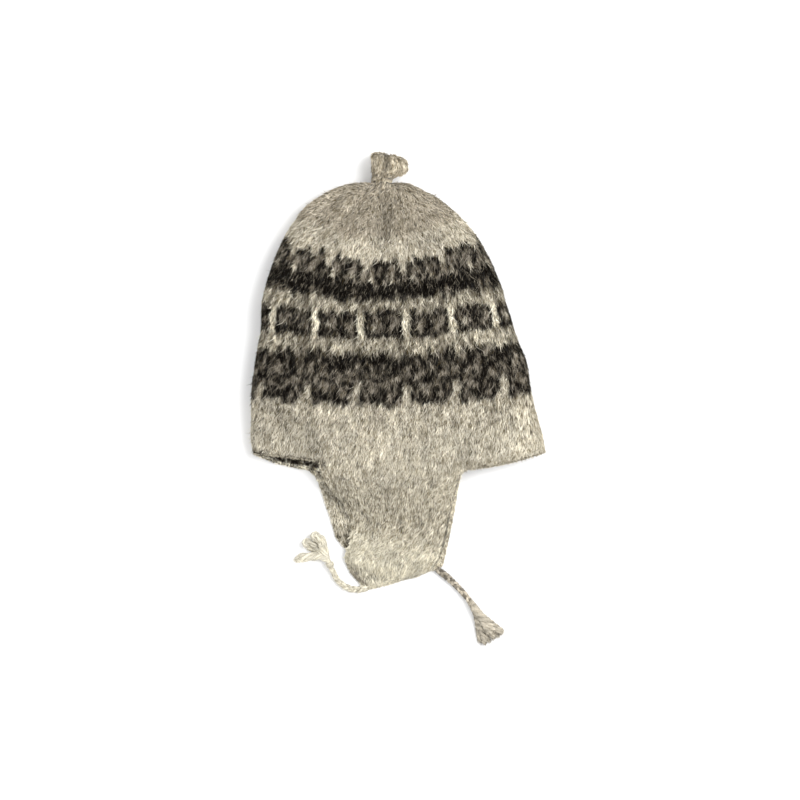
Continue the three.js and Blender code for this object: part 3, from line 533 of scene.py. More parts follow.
def buildCrown():
    outerRows = np.concatenate([crownLook["rimRows"], np.linspace(1.1, lastRow, crownLook["outerRows"])])
    innerRest = np.linspace(4.4, neckRow - 0.5, crownLook["innerRows"])
    innerRows = np.concatenate([crownLook["rimRows"], np.arange(1, 4, 0.4), innerRest])
    outer, normals, rounds = crownGrid(outerRows, 0, crownLook["inset"])
    inner, innerNormals, _ = crownGrid(innerRows, knitWall, 0)
    around = crownLook["around"]
    points = np.concatenate([outer.reshape(-1, 3), inner.reshape(-1, 3)]) + bodyShift
    innerStart = len(outerRows) * around
    faces = [
        gridQuads(len(outerRows), around, wrap=True),
        gridQuads(len(innerRows), around, wrap=True, start=innerStart, flip=True),
    ]
    j = np.arange(around)
    k = (j + 1) % around
    faces.append(np.stack([j, k, innerStart + k, innerStart + j], axis=-1))
    quads = np.concatenate(faces)
    points[:, 2] = np.maximum(points[:, 2], leastHeight)
    rowGrid = np.repeat(outerRows[:, None], around, axis=1)
    roundGrid = np.repeat(rounds[None, :], len(outerRows), axis=0)
    columns = columnOf(rowGrid, roundGrid)
    colours = shade(knitColours(rowGrid, columns), columns, rowGrid, 21)
    # Painted shade in the dents of the upper layer, darkest in the crease under the neck
    hollow = dentDepth(outer[..., 0], outer[..., 1]) / (crownLook["dentShadeFull"] * crownLoft)
    isUpper = ((roundGrid < 0.5) & (rowGrid < dentFade["lastRow"]))[..., None]
    colours = colours * (1 - crownLook["dentShadeShare"] * np.clip(hollow, 0, 1)[..., None] * isUpper)
    rimShort = mix(crownLook["shortest"], 1, smooth(rowGrid / crownLook["shortRows"]))
    reach = mix(1, rimShort, rimFree(rounds)[None, :])
    rimShade = np.clip(1 - rowGrid / 0.9, 0, 1) * rimFree(rounds)[None, :]
    colours = dye(colours, "brown", 0.6 * rimShade)

    # Painted shadow in the slit at the left corner of the rim, on the outside and inside the lip under it;
    # the lip's edge gets a paler painted light
    fromMiddle = -outer[0, :, 0]
    slitRun = crownLook["slitRun"] * halfCrown
    corner = ramp(fromMiddle, crownLook["slitLeft"] * halfCrown, slitRun) * (rounds < crownLook["topRounds"])
    atFold = ramp(fromMiddle, crownLook["foldLeft"] * halfCrown, crownLook["foldRun"] * halfCrown)
    darkRows = crownLook["slitRows"] + crownLook["slitCornerRows"] * atFold[None, :]
    slitShadow = corner[None, :] * (1 - ramp(rowGrid, darkRows, crownLook["slitFade"]))
    colours = dye(colours, "slitShadowBrown", slitShadow * ramp(softNoise(columns * 1.6, rowGrid * 1.9, 27), 0.15, 0.4))
    innerCorner = ramp(fromMiddle, crownLook["lipLeft"] * halfCrown, slitRun) * (rounds > 0.5)
    speckle = softNoise(columnOf(innerRows[:, None], rounds[None, :]) * 1.3, innerRows[:, None] * 2.2, 28)
    innerSlitShadow = ramp(innerRows, crownLook["slitLip"], 0.5)[:, None] + 1.6 * (speckle - 0.62)
    innerSlitShadow = innerCorner[None, :] * ramp(innerSlitShadow, -0.1, 0.5) * smooth(speckle / 0.4)
    innerColours = dye(np.array(yarns["heather"]), "lipPaintedLight", innerCorner[None, :])
    innerColours = dye(innerColours, "slitShadowBrown", innerSlitShadow).reshape(-1, 3)
    comb = combCrown(outer, normals, outerRows)
    innerComb = combCrown(inner, innerNormals, innerRows)
    upper = (roundGrid < crownLook["topRounds"]) | (roundGrid > 0.98)
    zone = np.where(upper, np.where(rowGrid < crownLook["topFromRow"], 1, 2), 3)
    innerZone = np.where(np.repeat(innerRows[:, None], around, axis=1) < crownLook["lipRows"], 4, 0)
    stray = 1 + edgeStray["more"] * ramp(rowGrid, edgeStray["fromRow"], edgeStray["rows"])
    allRows = np.concatenate([rowGrid.ravel(), np.repeat(innerRows, around)])
    allColumns = np.concatenate([columns.ravel(), np.tile(columnOf(0, rounds), len(innerRows))])
    u = allColumns[quads.ravel()].reshape(-1, 4)
    u = np.where(u - u.max(axis=1, keepdims=True) < -stitchesRound / 2, u + stitchesRound, u)
    uv = np.stack([u.ravel(), allRows[quads.ravel()]], axis=-1)
    attributes = {
        "yarnColour": np.concatenate([colours.reshape(-1, 3), innerColours]),
        "combDirection": np.concatenate([comb.reshape(-1, 3), innerComb.reshape(-1, 3)]),
        "fuzzZone": np.concatenate([zone.ravel(), innerZone.ravel()]),
        "stray": np.concatenate([stray.ravel(), np.ones(innerZone.size)]),
        "reach": np.concatenate([reach.ravel(), np.full(innerZone.size, 0.5)]),
        "contrast": np.concatenate([np.interp(rowGrid, *rowContrast).ravel(), np.ones(innerZone.size)]),
    }
    wall = len(quads) - around + np.nonzero(rimFree(rounds) < 0.5)[0]
    return makeMesh("crown_knit", points, quads.tolist(), attributes, uv, wall)


# Flaps: a sheet whose two skins meet in a rounded edge
flapLook = {
    "down": 84,
    "across": 72,
    "wales": 26,
    "rows": 38,
    "lumps": 0.5 * mm,
    "tuck": 1.2 * mm,
    "edgeReach": 7 * mm,
    "shortest": 0.3,
    "upperLean": 20,
    "lowerLean": 6,
}


def buildFlap(name, flap, upper, colourOf):
    ease = np.linspace(0, 1, flapLook["across"])
    acrosses = mix(ease, smooth(ease), 0.6)
    ease = np.linspace(0, 1, flapLook["down"])
    downs = 1 - (1 - ease) ** 1.25
    surface, away = flapSurface(flap, upper, downs, acrosses)
    normals = gridNormals(surface)
    normals = np.where(normals[..., 2:] < 0, -normals, normals)
    distance, _ = distanceToLine(flapOutline(flap, 60), surface[..., 0], surface[..., 1], False)
    distance[:, 0] = 0
    distance[:, -1] = 0
    distance[-1] = 0
    inset = np.minimum(edgeInset(distance) + crownLook["inset"], knitWall / 2)
    u = acrosses[None, :] * np.ones((len(downs), 1))
    v = downs[:, None] * np.ones((1, len(acrosses)))
    lumps = (softNoise(u * 22 + 2, v * 26, 13) - 0.5) * flapLook["lumps"] * smooth(distance / (4 * mm))
    top = surface - normals * (inset - lumps)[..., None]
    under = surface - normals * (knitWall - inset)[..., None]

    # The root is tucked in under the crown's edge
    tuck = away * -flapLook["tuck"]
    topTuck = (surface[0] - normals[0] * (crownLook["inset"] + 0.2 * mm) + tuck)[None]
    underTuck = (surface[0] - normals[0] * (knitWall - 0.6 * mm) + tuck)[None]
    top = np.concatenate([topTuck, top])
    under = np.concatenate([underTuck, under])
    rows, columns = top.shape[:2]
    points = np.concatenate([top.reshape(-1, 3), under.reshape(-1, 3)]) + bodyShift
    points[:, 2] = np.maximum(points[:, 2], leastHeight)
    start = rows * columns
    j = np.arange(columns - 1)
    last = (rows - 1) * columns
    i = np.arange(rows - 1) * columns
    side = columns - 1
    edges = [(j, j + 1), (last + j + 1, last + j), (i + columns, i), (i + side, i + columns + side)]
    faces = [gridQuads(rows, columns), gridQuads(rows, columns, start=start, flip=True)]
    faces += [np.stack([a, b, start + b, start + a], axis=-1) for a, b in edges]
    quads = np.concatenate(faces)
    downGrid = np.concatenate([[-0.01], downs])[:, None] * np.ones((1, columns))
    acrossGrid = acrosses[None, :] * np.ones((rows, 1))
    colours, contrast = colourOf(downGrid, acrossGrid)
    free = smooth(distance / flapLook["edgeReach"])
    if upper:
        within, inside = distanceToLine(flapOutline(lowerFlap, 24), surface[..., 0], surface[..., 1], True)
        free = np.maximum(free, smooth(np.where(inside, within, 0) / (4 * mm)))
    reach = mix(flapLook["shortest"], 1, np.concatenate([free[:1], free]))
    wales, courses = acrossGrid * flapLook["wales"], downGrid * flapLook["rows"]
    colours = shade(colours, wales, courses, 31)
    combDown = unit(np.gradient(top, axis=0))
    fullNormals = np.concatenate([normals[:1], normals])
    sideways = np.cross(fullNormals, -combDown)
    lean = math.radians(flapLook["upperLean"] if upper else flapLook["lowerLean"])
    comb = unit(combDown * math.cos(lean) + sideways * math.sin(lean))
    attributes = {
        "yarnColour": np.concatenate([colours.reshape(-1, 3)] * 2),
        "combDirection": np.concatenate([comb.reshape(-1, 3)] * 2),
        "fuzzZone": np.concatenate([np.full(start, 1.0), np.full(start, 2.0)]),
        "stray": np.ones(2 * start),
        "reach": np.tile(reach.ravel(), 2),
        "contrast": np.tile(contrast.ravel(), 2),
    }
    uv = np.stack([np.tile(wales.ravel(), 2), np.tile(-courses.ravel(), 2)], axis=-1)[quads.ravel()]
    tucked = np.concatenate([np.arange(columns - 1), (rows - 1) * (columns - 1) + np.arange(columns - 1)])
    return makeMesh(name, points, quads.tolist(), attributes, uv, tucked)


# Colours of a flap, and how strongly its fibres differ in tone
def upperFlapColours(down, across):
    base = dye(np.array(yarns["flapGrey"]), "heather", smooth(1 - down / 0.2))
    tip = ramp(down + 0.2 * (0.5 - across), 0.58, 0.22)
    colours = dye(base, "flapTip", tip)
    # Painted shade: a greyer strip along the right edge near the tip
    tipEdgeShade = ramp(across, 0.6, 0.4) * ramp(down, 0.8, 0.15)
    dashes = ramp(softNoise(down * 70, across * 20, 33), 0.35, 0.2) * smooth(1.5 - across / 0.09)
    dashes = dashes * ramp(down, 0.8, 0.05) * smooth((1.02 - down) / 0.06)
    colours = dye(colours, "brown", 0.7 * dashes)
    return dye(colours, "flapShadeGrey", 0.55 * tipEdgeShade), 1 - 0.45 * tip


def lowerFlapColours(down, across):
    # Painted light: heather made brighter near the root and the right edge lightened, where the upper flap
    # shades this flap. Painted shade: a darker strip at the left, lower down
    base = dye(np.array(yarns["heather"]) * 1.15, "flapGrey", ramp(down, 0.4, 0.3))
    darker = smooth(1 - across / 0.35) * ramp(down, 0.5, 0.25)
    colours = dye(base, "flapShadeGrey", darker) * (1 + 0.35 * ramp(across, 0.8, 0.15))[..., None]
    return colours, 1 + 0.4 * darker


# Tuft: a tied neck and a flared, puckered end. Rings are shares of its length and radius
tuftLook = {
    "length": 21.8 * mm,
    "radius": 15.6 * mm,
    "ringAlong": [-0.3, -0.05, 0.1, 0.22, 0.38, 0.58, 0.8, 0.95, 1, 0.86],
    "ringRadius": [0.62, 0.63, 0.64, 0.72, 0.9, 0.95, 0.9, 0.8, 0.62, 0.32],
    "ringShift": [0, 0, 0, 0.04, 0.16, 0.2, 0.12, 0.05, 0.02, 0.02],
    "ringLobe": [0, 0, 0.02, 0.05, 0.1, 0.15, 0.2, 0.24, 0.26, 0.2],
    "inset": 1 * mm,
    "dimple": 0.74,
    "lobes": 5,
    "lobePhase": 0.6,
    "unevenLobes": 3,
    "unevenShare": 0.35,
    "turn": -10,
    "flatness": 0.82,
    "flatFrom": 0.62,
    "creaseAt": 1.8,
    "creaseWide": 0.22,
    "creaseDeep": 0.22,
    "folds": 17,
    "foldDeep": 0.05,
}


def buildTuft():
    length, fullRadius = tuftLook["length"], tuftLook["radius"]
    ring = np.arange(len(tuftLook["ringAlong"])) - 1
    steps = np.linspace(-1, ring[-1], 68)
    along, radius, shift, lobe = [curveThrough(ring, tuftLook["ring" + name], steps)[:, None]
                                  for name in ("Along", "Radius", "Shift", "Lobe")]
    angle = np.linspace(0, 2 * math.pi, 140, endpoint=False)
    slow = tuftLook["unevenShare"] * np.cos(tuftLook["unevenLobes"] * angle)
    lobeAngle = tuftLook["lobes"] * angle + tuftLook["lobePhase"]
    wave = 1 + lobe * (np.cos(lobeAngle) + slow)[None, :]
    apart = (np.mod(angle - tuftLook["creaseAt"] + math.pi, 2 * math.pi) - math.pi) / tuftLook["creaseWide"]
    crease = tuftLook["creaseDeep"] * np.exp(-(apart**2))
    flared = smooth(steps / 4)[:, None]
    folds = (tuftLook["foldDeep"] * np.cos(tuftLook["folds"] * angle + 1.3) - crease)[None, :] * flared
    reach = radius * fullRadius * (wave + folds) - tuftLook["inset"]
    flatness = mix(1, tuftLook["flatness"], smooth(along / tuftLook["flatFrom"]))
    across = reach * np.cos(angle) + shift * fullRadius
    upwards = reach * np.sin(angle) * flatness
    points = np.stack([across, along * length * np.ones_like(reach), upwards], axis=-1)
    turn = math.radians(tuftLook["turn"])
    spin = np.array([[math.cos(turn), -math.sin(turn), 0], [math.sin(turn), math.cos(turn), 0], [0, 0, 1]])
    column = {name: values[-1] for name, values in knitRows.items()}
    height = (column["loft"] + column["lift"]) * crownLoft / 2
    lean = fullRadius * tuftLook["ringRadius"][0] * math.sin(abs(turn))
    neckY = rimCornerY + column["middle"] * crownLength + seamGap + lean
    place = np.array([column["centre"] * halfCrown, neckY, height])
    rows, columns = points.shape[:2]
    ends = np.array([[0, tuftLook["dimple"] * length, 0], [0, tuftLook["ringAlong"][0] * length, 0]])
    everything = np.concatenate([points.reshape(-1, 3), ends]) @ spin.T + place + bodyShift
    everything[:, 2] += max(leastHeight - everything[:, 2].min(), 0)
    faces = gridQuads(rows, columns, wrap=True).tolist()
    end = (rows - 1) * columns
    for j in range(columns):
        k = (j + 1) % columns
        faces.append([rows * columns, end + k, end + j])
        faces.append([rows * columns + 1, j, k])
    colours = np.array(yarns["knob"]) * np.ones((rows, columns, 3))
    # Painted shade in the hollows between the lobes and in the crease
    hollow = 0.5 - 0.5 * np.cos(lobeAngle)
    darker = 0.16 * hollow[None, :] + 0.3 * np.exp(-(apart**2))[None, :]
    colours = colours * (1 - darker * flared)[..., None]
    everyPoint = np.ones((rows, columns))
    colours = shade(colours, angle[None, :] * 5 * everyPoint, steps[:, None] * 2 * everyPoint, 41)
    comb = -unit(np.gradient(points, axis=0)) @ spin.T
    attributes = {
        "yarnColour": np.concatenate([colours.reshape(-1, 3), [yarns["brown"]] * 2]),
        "combDirection": np.concatenate([comb.reshape(-1, 3), [[0, -1, 0]] * 2]),
        "fuzzZone": np.ones(len(everything)),
        "stray": np.full(len(everything), 1.6),
        "reach": np.ones(len(everything)),
        "contrast": np.full(len(everything), 0.8),
    }
    corner = np.array([index for face in faces for index in face])
    u = np.concatenate([np.tile(np.arange(columns) * 30 / columns, rows), [0, 0]])[corner]
    v = np.concatenate([np.repeat(steps * 1.4, columns), [0, 0]])[corner]
    return makeMesh("tuft_knit", everything, faces, attributes, np.stack([u, v], axis=-1))


# Node helpers
def addNode(tree, kind, inputs=None, **settings):
    node = tree.nodes.new(kind)
    for key, value in settings.items():
        setattr(node, key, value)
    for key, value in (inputs or {}).items():
        if isinstance(value, bpy.types.NodeSocket):
            tree.links.new(value, node.inputs[key])
        else:
            node.inputs[key].default_value = value
    return node


def mathOf(tree, operation, *values):
    return addNode(tree, "ShaderNodeMath", dict(enumerate(values)), operation=operation).outputs[0]


# Short forms for times, plus and minus in one tree
def sumsIn(tree):
    return [partial(mathOf, tree, operation) for operation in ("MULTIPLY", "ADD", "SUBTRACT")]


def vectorOf(tree, operation, vector, value):
    inputs = {0: vector, "Scale" if operation == "SCALE" else 1: value}
    return addNode(tree, "ShaderNodeVectorMath", inputs, operation=operation).outputs[0]


def combine(tree, x=0.0, y=0.0, z=0.0):
    return addNode(tree, "ShaderNodeCombineXYZ", {0: x, 1: y, 2: z}).outputs[0]


def split(tree, vector):
    return addNode(tree, "ShaderNodeSeparateXYZ", {0: vector}).outputs


# A node group: an input is given by its default, or by its socket's kind where it has none
def newTree(name, kind, inputs, outputs):
    tree = bpy.data.node_groups.new(name, kind)
    kinds = {float: "Float", int: "Int", tuple: "Color"}
    for label, default in inputs.items():
        socketKind = kinds.get(type(default), default)
        socket = tree.interface.new_socket(label, in_out="INPUT", socket_type="NodeSocket" + socketKind)
        if socketKind != default:
            socket.default_value = default
    for label, socketKind in outputs.items():
        tree.interface.new_socket(label, in_out="OUTPUT", socket_type="NodeSocket" + socketKind)
    return tree, tree.nodes.new("NodeGroupInput").outputs, tree.nodes.new("NodeGroupOutput").inputs


def attributeOf(tree, name, dataType="FLOAT"):
    node = addNode(tree, "GeometryNodeInputNamedAttribute", {"Name": name}, data_type=dataType)
    return node.outputs["Attribute"]


def storeIn(tree, geometry, name, value, dataType="FLOAT"):
    inputs = {"Geometry": geometry, "Name": name, "Value": value}
    settings = {"data_type": dataType, "domain": "POINT"}
    return addNode(tree, "GeometryNodeStoreNamedAttribute", inputs, **settings).outputs[0]


def moveIn(tree, geometry, how, value):
    return addNode(tree, "GeometryNodeSetPosition", {"Geometry": geometry, how: value}).outputs[0]


# Fibres that lie on a brushed surface, each a narrow ribbon that tapers to its tip
def fuzzTree():
    tree, given, result = newTree("brushedFibres", "GeometryNodeTree", {
        "Surface": "Geometry",
        "Density": 1.0,
        "Zone": 1.0,
        "Zone Range": 0.5,
        "Length": 0.005,
        "Width": 0.0005,
        "Lift": 0.1,
        "Scatter": 0.4,
        "Curl": 0.2,
        "Roll": 0.6,
        "Clump Size": 0.0008,
        "Clump Share": 0.6,
        "Edges Only": 0.0,
        "Seed": 1,
        "Material": "Material",
    }, {"Fibres": "Geometry"})
    times, plus, minus = sumsIn(tree)
    position = tree.nodes.new("GeometryNodeInputPosition").outputs[0]
    surfaceNormal = tree.nodes.new("GeometryNodeInputNormal").outputs[0]
    length = given["Length"]

    def chance(low, high, offset):
        inputs = {2: low, 3: high, "Seed": plus(given["Seed"], offset)}
        return addNode(tree, "FunctionNodeRandomValue", inputs, data_type="FLOAT").outputs[1]

    # Where they grow: in the asked zone, and for a halo only where the surface turns away from above
    inZone = mathOf(tree, "COMPARE", attributeOf(tree, "fuzzZone"), given["Zone"], given["Zone Range"])
    facingUp = mathOf(tree, "ABSOLUTE", split(tree, surfaceNormal)[2])
    atEdge = mathOf(tree, "MAXIMUM", minus(1.0, times(facingUp, given["Edges Only"])), 0.0)
    density = times(times(given["Density"], inZone), atEdge)
    spread = addNode(tree, "GeometryNodeDistributePointsOnFaces", {
        "Mesh": given["Surface"],
        "Density": mathOf(tree, "DIVIDE", density, attributeOf(tree, "reach")),
        "Seed": given["Seed"],
    }, distribute_method="RANDOM")

    # How they lie: combed, a little astray, a little raised and rolled
    normal = spread.outputs["Normal"]
    comb = attributeOf(tree, "combDirection", "FLOAT_VECTOR")
    scatter = times(given["Scatter"], attributeOf(tree, "stray"))
    strayed = times(times(chance(-1.0, 1.0, 11), scatter), chance(0.1, 1.0, 12))
    sideways = vectorOf(tree, "CROSS_PRODUCT", normal, comb)
    heading = vectorOf(tree, "ADD", comb, vectorOf(tree, "SCALE", sideways, strayed))
    raised = vectorOf(tree, "SCALE", normal, times(chance(0.1, 1.0, 13), given["Lift"]))
    heading = vectorOf(tree, "ADD", heading, raised)
    turned = addNode(tree, "FunctionNodeAlignRotationToVector", {"Vector": normal}, axis="Z")
    for pivot in ("Z", "X"):
        inputs = {"Rotation": turned.outputs[0], "Vector": heading}
        turned = addNode(tree, "FunctionNodeAlignRotationToVector", inputs, axis="Y", pivot_axis=pivot)
    roll = combine(tree, y=times(chance(-1.0, 1.0, 16), given["Roll"]))
    rollTurn = addNode(tree, "FunctionNodeEulerToRotation", {0: roll})
    inputs = {0: turned.outputs[0], 1: rollTurn.outputs[0]}
    rolled = addNode(tree, "FunctionNodeRotateRotation", inputs, rotation_space="LOCAL")

    # Four strands to pick from, bent to either side and pointed at both ends
    strands = tree.nodes.new("GeometryNodeGeometryToInstance")
    for bend in (-1.0, -0.3, 0.4, 1.0):
        grid = addNode(tree, "GeometryNodeMeshGrid", {
            "Size X": given["Width"], "Size Y": length, "Vertices X": 2, "Vertices Y": 3,
        })
        x, y, _ = split(tree, position)
        share = plus(mathOf(tree, "DIVIDE", y, length), 0.5)
        square = times(share, share)
        narrow = times(x, times(times(share, 4.0), minus(1.0, share)))
        bow = times(times(square, times(given["Curl"], bend)), length)
        arch = times(square, times(times(given["Lift"], -0.45), length))
        bentPlace = combine(tree, plus(narrow, bow), times(share, length), arch)
        bent = moveIn(tree, storeIn(tree, grid.outputs[0], "along", share), "Position", bentPlace)
        tipped = addNode(tree, "GeometryNodeMergeByDistance", {"Geometry": bent, "Distance": 1e-6})
        tree.links.new(tipped.outputs[0], strands.inputs[0])
    chosen = addNode(tree, "FunctionNodeRandomValue", {4: 0, 5: 3, "Seed": given["Seed"]}, data_type="INT")
    wide = chance(0.6, 1.35, 14)
    long = times(wide, attributeOf(tree, "reach"))

    # Their tone: partly shared in long clumps, partly each fibre's own
    clumps = addNode(tree, "ShaderNodeTexNoise", {
        "Vector": vectorOf(tree, "MULTIPLY", position, (1.0, 0.17, 1.0)),
        "Scale": mathOf(tree, "DIVIDE", 1.0, given["Clump Size"]),
        "Detail": 1.0,
    })
    shared = times(times(minus(clumps.outputs[0], 0.5), 2.6), given["Clump Share"])
    lone = times(chance(-0.5, 0.5, 15), minus(1.0, given["Clump Share"]))
    placed = addNode(tree, "GeometryNodeInstanceOnPoints", {
        "Points": storeIn(tree, spread.outputs["Points"], "tone", plus(plus(shared, lone), 0.5)),
        "Instance": strands.outputs[0],
        "Pick Instance": True,
        "Instance Index": chosen.outputs[2],
        "Rotation": rolled.outputs[0],
        "Scale": combine(tree, wide, long, long),
    })
    real = addNode(tree, "GeometryNodeRealizeInstances", {"Geometry": placed.outputs[0]})
    x, y, z = split(tree, position)
    above = combine(tree, x, y, mathOf(tree, "MAXIMUM", z, 0.1 * mm))
    laidDown = moveIn(tree, real.outputs[0], "Position", above)
    painted = addNode(tree, "GeometryNodeSetMaterial", {"Geometry": laidDown, "Material": given["Material"]})
    tree.links.new(painted.outputs[0], result["Fibres"])
    return tree


# Plied yarn round a line: the plies show as ridges that wind along it
def yarnTree():
    tree, given, result = newTree("pliedYarn", "GeometryNodeTree", {
        "Line": "Geometry",
        "Plies": 2.0,
        "Pitch": 0.004,
        "Ridge": 0.0002,
        "Material": "Material",
    }, {"Yarn": "Geometry"})
    times, plus, _ = sumsIn(tree)
    spline = tree.nodes.new("GeometryNodeSplineParameter").outputs
    tangent = tree.nodes.new("GeometryNodeInputTangent").outputs[0]
    normal = tree.nodes.new("GeometryNodeInputNormal").outputs[0]
    curve = addNode(tree, "GeometryNodeMeshToCurve", {"Mesh": given["Line"]})
    measured = storeIn(tree, curve.outputs[0], "runLength", spline["Length"])
    circle = addNode(tree, "GeometryNodeCurvePrimitiveCircle", {"Resolution": 12, "Radius": 1.0})
    tube = addNode(tree, "GeometryNodeCurveToMesh", {
        "Curve": storeIn(tree, measured, "combDirection", tangent, "FLOAT_VECTOR"),
        "Profile Curve": storeIn(tree, circle.outputs[0], "turn", spline["Factor"]),
        "Scale": attributeOf(tree, "yarnRadius"),
        "Fill Caps": True,
    })
    turns = times(attributeOf(tree, "turn"), given["Plies"])
    wound = mathOf(tree, "DIVIDE", attributeOf(tree, "runLength"), given["Pitch"])
    wave = mathOf(tree, "COSINE", times(plus(turns, wound), 2 * math.pi))
    ridges = vectorOf(tree, "SCALE", normal, times(wave, given["Ridge"]))
    shaped = moveIn(tree, storeIn(tree, tube.outputs[0], "ply", wave), "Offset", ridges)
    smoothed = addNode(tree, "GeometryNodeSetShadeSmooth", {"Geometry": shaped})
    real = addNode(tree, "GeometryNodeRealizeInstances", {"Geometry": smoothed.outputs[0]})
    inputs = {"Geometry": real.outputs[0], "Material": given["Material"]}
    tree.links.new(addNode(tree, "GeometryNodeSetMaterial", inputs).outputs[0], result["Yarn"])
    return tree


# Runs a tree on a copy of an object and returns what it makes as a plain mesh
def grow(name, source, tree, values):
    carrier = placeObject(name, source.data.copy())
    modifier = carrier.modifiers.new(tree.name, "NODES")
    modifier.node_group = tree
    identifiers = {item.name: item.identifier for item in tree.interface.items_tree if item.in_out == "INPUT"}
    for label, value in values.items():
        modifier[identifiers[label]] = value
    carrier.update_tag()
    evaluated = carrier.evaluated_get(bpy.context.evaluated_depsgraph_get())
    mesh = bpy.data.meshes.new_from_object(evaluated)
    mesh.name = name
    bpy.data.objects.remove(carrier)
    mesh.calc_loop_triangles()
    print(f"{name}: {len(mesh.loop_triangles)} triangles")
    return placeObject(name, mesh)


# A yarn's colour, lighter and darker with a tone, and greyed where the tone is high
def toneGroup():
    tree, given, result = newTree("woolTone", "ShaderNodeTree", {
        "Colour": (0.5, 0.5, 0.5, 1.0),
        "Tone": 0.5,
        "Level": 1.0,
        "Spread": 0.4,
        "Least": 0.12,
        "Pale From": 1.0,
        "Pale": (0.34, 0.303, 0.235, 1.0),
    }, {"Colour": "Color"})
    times, _, minus = sumsIn(tree)
    lift = times(minus(given["Tone"], 0.5), given["Spread"])
    tinted = vectorOf(tree, "SCALE", combine(tree, 0.95, 1.0, 1.12), lift)
    factor = vectorOf(tree, "ADD", combine(tree, *[given["Level"]] * 3), tinted)
    factor = vectorOf(tree, "MAXIMUM", factor, combine(tree, *[given["Least"]] * 3))
    scaled = vectorOf(tree, "MULTIPLY", given["Colour"], factor)
    paleness = mathOf(tree, "MAXIMUM", minus(given["Tone"], given["Pale From"]), 0.0)
    greyed = vectorOf(tree, "SCALE", given["Pale"], times(paleness, 2.6))
    tree.links.new(vectorOf(tree, "MAXIMUM", scaled, greyed), result["Colour"])
    return tree


# Relief of knit stitches over wales and rows, with loose fibre on it
def knitGroup():
    tree, given, result = newTree("knitRelief", "ShaderNodeTree", {
        "Place": "Vector",
        "Strength": 0.3,
        "Depth": 0.0006,
        "Fibre": "Vector",
    }, {"Normal": "Vector"})
    times, plus, minus = sumsIn(tree)
    column, row, _ = split(tree, given["Place"])
    fromMiddle = mathOf(tree, "ABSOLUTE", minus(mathOf(tree, "FRACT", plus(column, 0.5)), 0.5))
    ridge = mathOf(tree, "SINE", times(fromMiddle, 2 * math.pi))
    legs = mathOf(tree, "COSINE", times(minus(row, times(fromMiddle, 1.5)), 2 * math.pi))
    shaped = times(ridge, plus(times(legs, 0.3), 0.7))
    noise = addNode(tree, "ShaderNodeTexNoise", {
        "Vector": given["Fibre"], "Scale": 900.0, "Detail": 3.0, "Roughness": 0.6,
    })
    bump = addNode(tree, "ShaderNodeBump", {
        "Strength": given["Strength"],
        "Distance": given["Depth"],
        "Height": plus(times(shaped, 0.6), times(noise.outputs[0], 0.8)),
    })
    tree.links.new(bump.outputs[0], result["Normal"])
    return tree


def startMaterial(name, roughness, sheen, specular=0.1):
    material = bpy.data.materials.new(name)
    material.use_nodes = True
    inputs = material.node_tree.nodes["Principled BSDF"].inputs
    inputs["Roughness"].default_value = roughness
    inputs["Specular IOR Level"].default_value = specular
    inputs["Sheen Weight"].default_value = sheen
    inputs["Sheen Roughness"].default_value = 0.6
    return material, material.node_tree, inputs


def attributeInShader(tree, name, output="Fac"):
    node = addNode(tree, "ShaderNodeAttribute", attribute_name=name, attribute_type="GEOMETRY")
    return node.outputs[output]


def tonedColour(tree, values):
    inputs = {"Colour": attributeInShader(tree, "yarnColour", "Color"), **values}
    return addNode(tree, "ShaderNodeGroup", inputs, node_tree=woolTone).outputs[0]


# Knitted ground under the fibres: darker than they are, a painted shade for the gaps between them
def groundMaterial(name, level, relief):
    material, tree, shader = startMaterial(name, 0.95, 0.3)
    place = tree.nodes.new("ShaderNodeTexCoord").outputs["Object"]
    stitches = addNode(tree, "ShaderNodeUVMap", uv_map="knit").outputs[0]
    noise = addNode(tree, "ShaderNodeTexNoise", {"Vector": place, "Scale": 450.0, "Detail": 2.0})
    colour = tonedColour(tree, {"Tone": noise.outputs[0], "Level": level, "Spread": 0.8})
    knit = addNode(tree, "ShaderNodeGroup", {
        "Place": stitches, "Fibre": place, "Strength": relief,
    }, node_tree=knitRelief)
    tree.links.new(colour, shader["Base Color"])
    tree.links.new(knit.outputs["Normal"], shader["Normal"])
    return material


def fibreMaterial(name, level, spread, paleFrom):
    material, tree, shader = startMaterial(name, 0.85, 0, specular=0)
    times, plus, _ = sumsIn(tree)
    colour = tonedColour(tree, {
        "Tone": attributeInShader(tree, "tone"),
        "Level": level,
        "Spread": times(attributeInShader(tree, "contrast"), spread),
        "Pale From": paleFrom,
    })
    # Painted shade at each fibre's root, lighter towards its tip
    rootShade = plus(times(attributeInShader(tree, "along"), 0.35), 0.75)
    tree.links.new(vectorOf(tree, "SCALE", colour, rootShade), shader["Base Color"])
    return material


def yarnMaterial(name, hollow):
    material, tree, shader = startMaterial(name, 0.9, 0.1)
    times, plus, _ = sumsIn(tree)
    place = tree.nodes.new("ShaderNodeTexCoord").outputs["Object"]
    noise = addNode(tree, "ShaderNodeTexNoise", {"Vector": place, "Scale": 700.0, "Detail": 3.0}).outputs[0]
    colour = tonedColour(tree, {"Tone": noise, "Spread": 0.7})
    # Painted shade in the grooves between the plies
    share = plus(times(attributeInShader(tree, "ply"), 0.5), 0.5)
    depth = plus(times(share, 1 - hollow), hollow)
    bump = addNode(tree, "ShaderNodeBump", {"Strength": 0.4, "Distance": 0.0003, "Height": noise})
    tree.links.new(vectorOf(tree, "SCALE", colour, depth), shader["Base Color"])
    tree.links.new(bump.outputs[0], shader["Normal"])
    return material


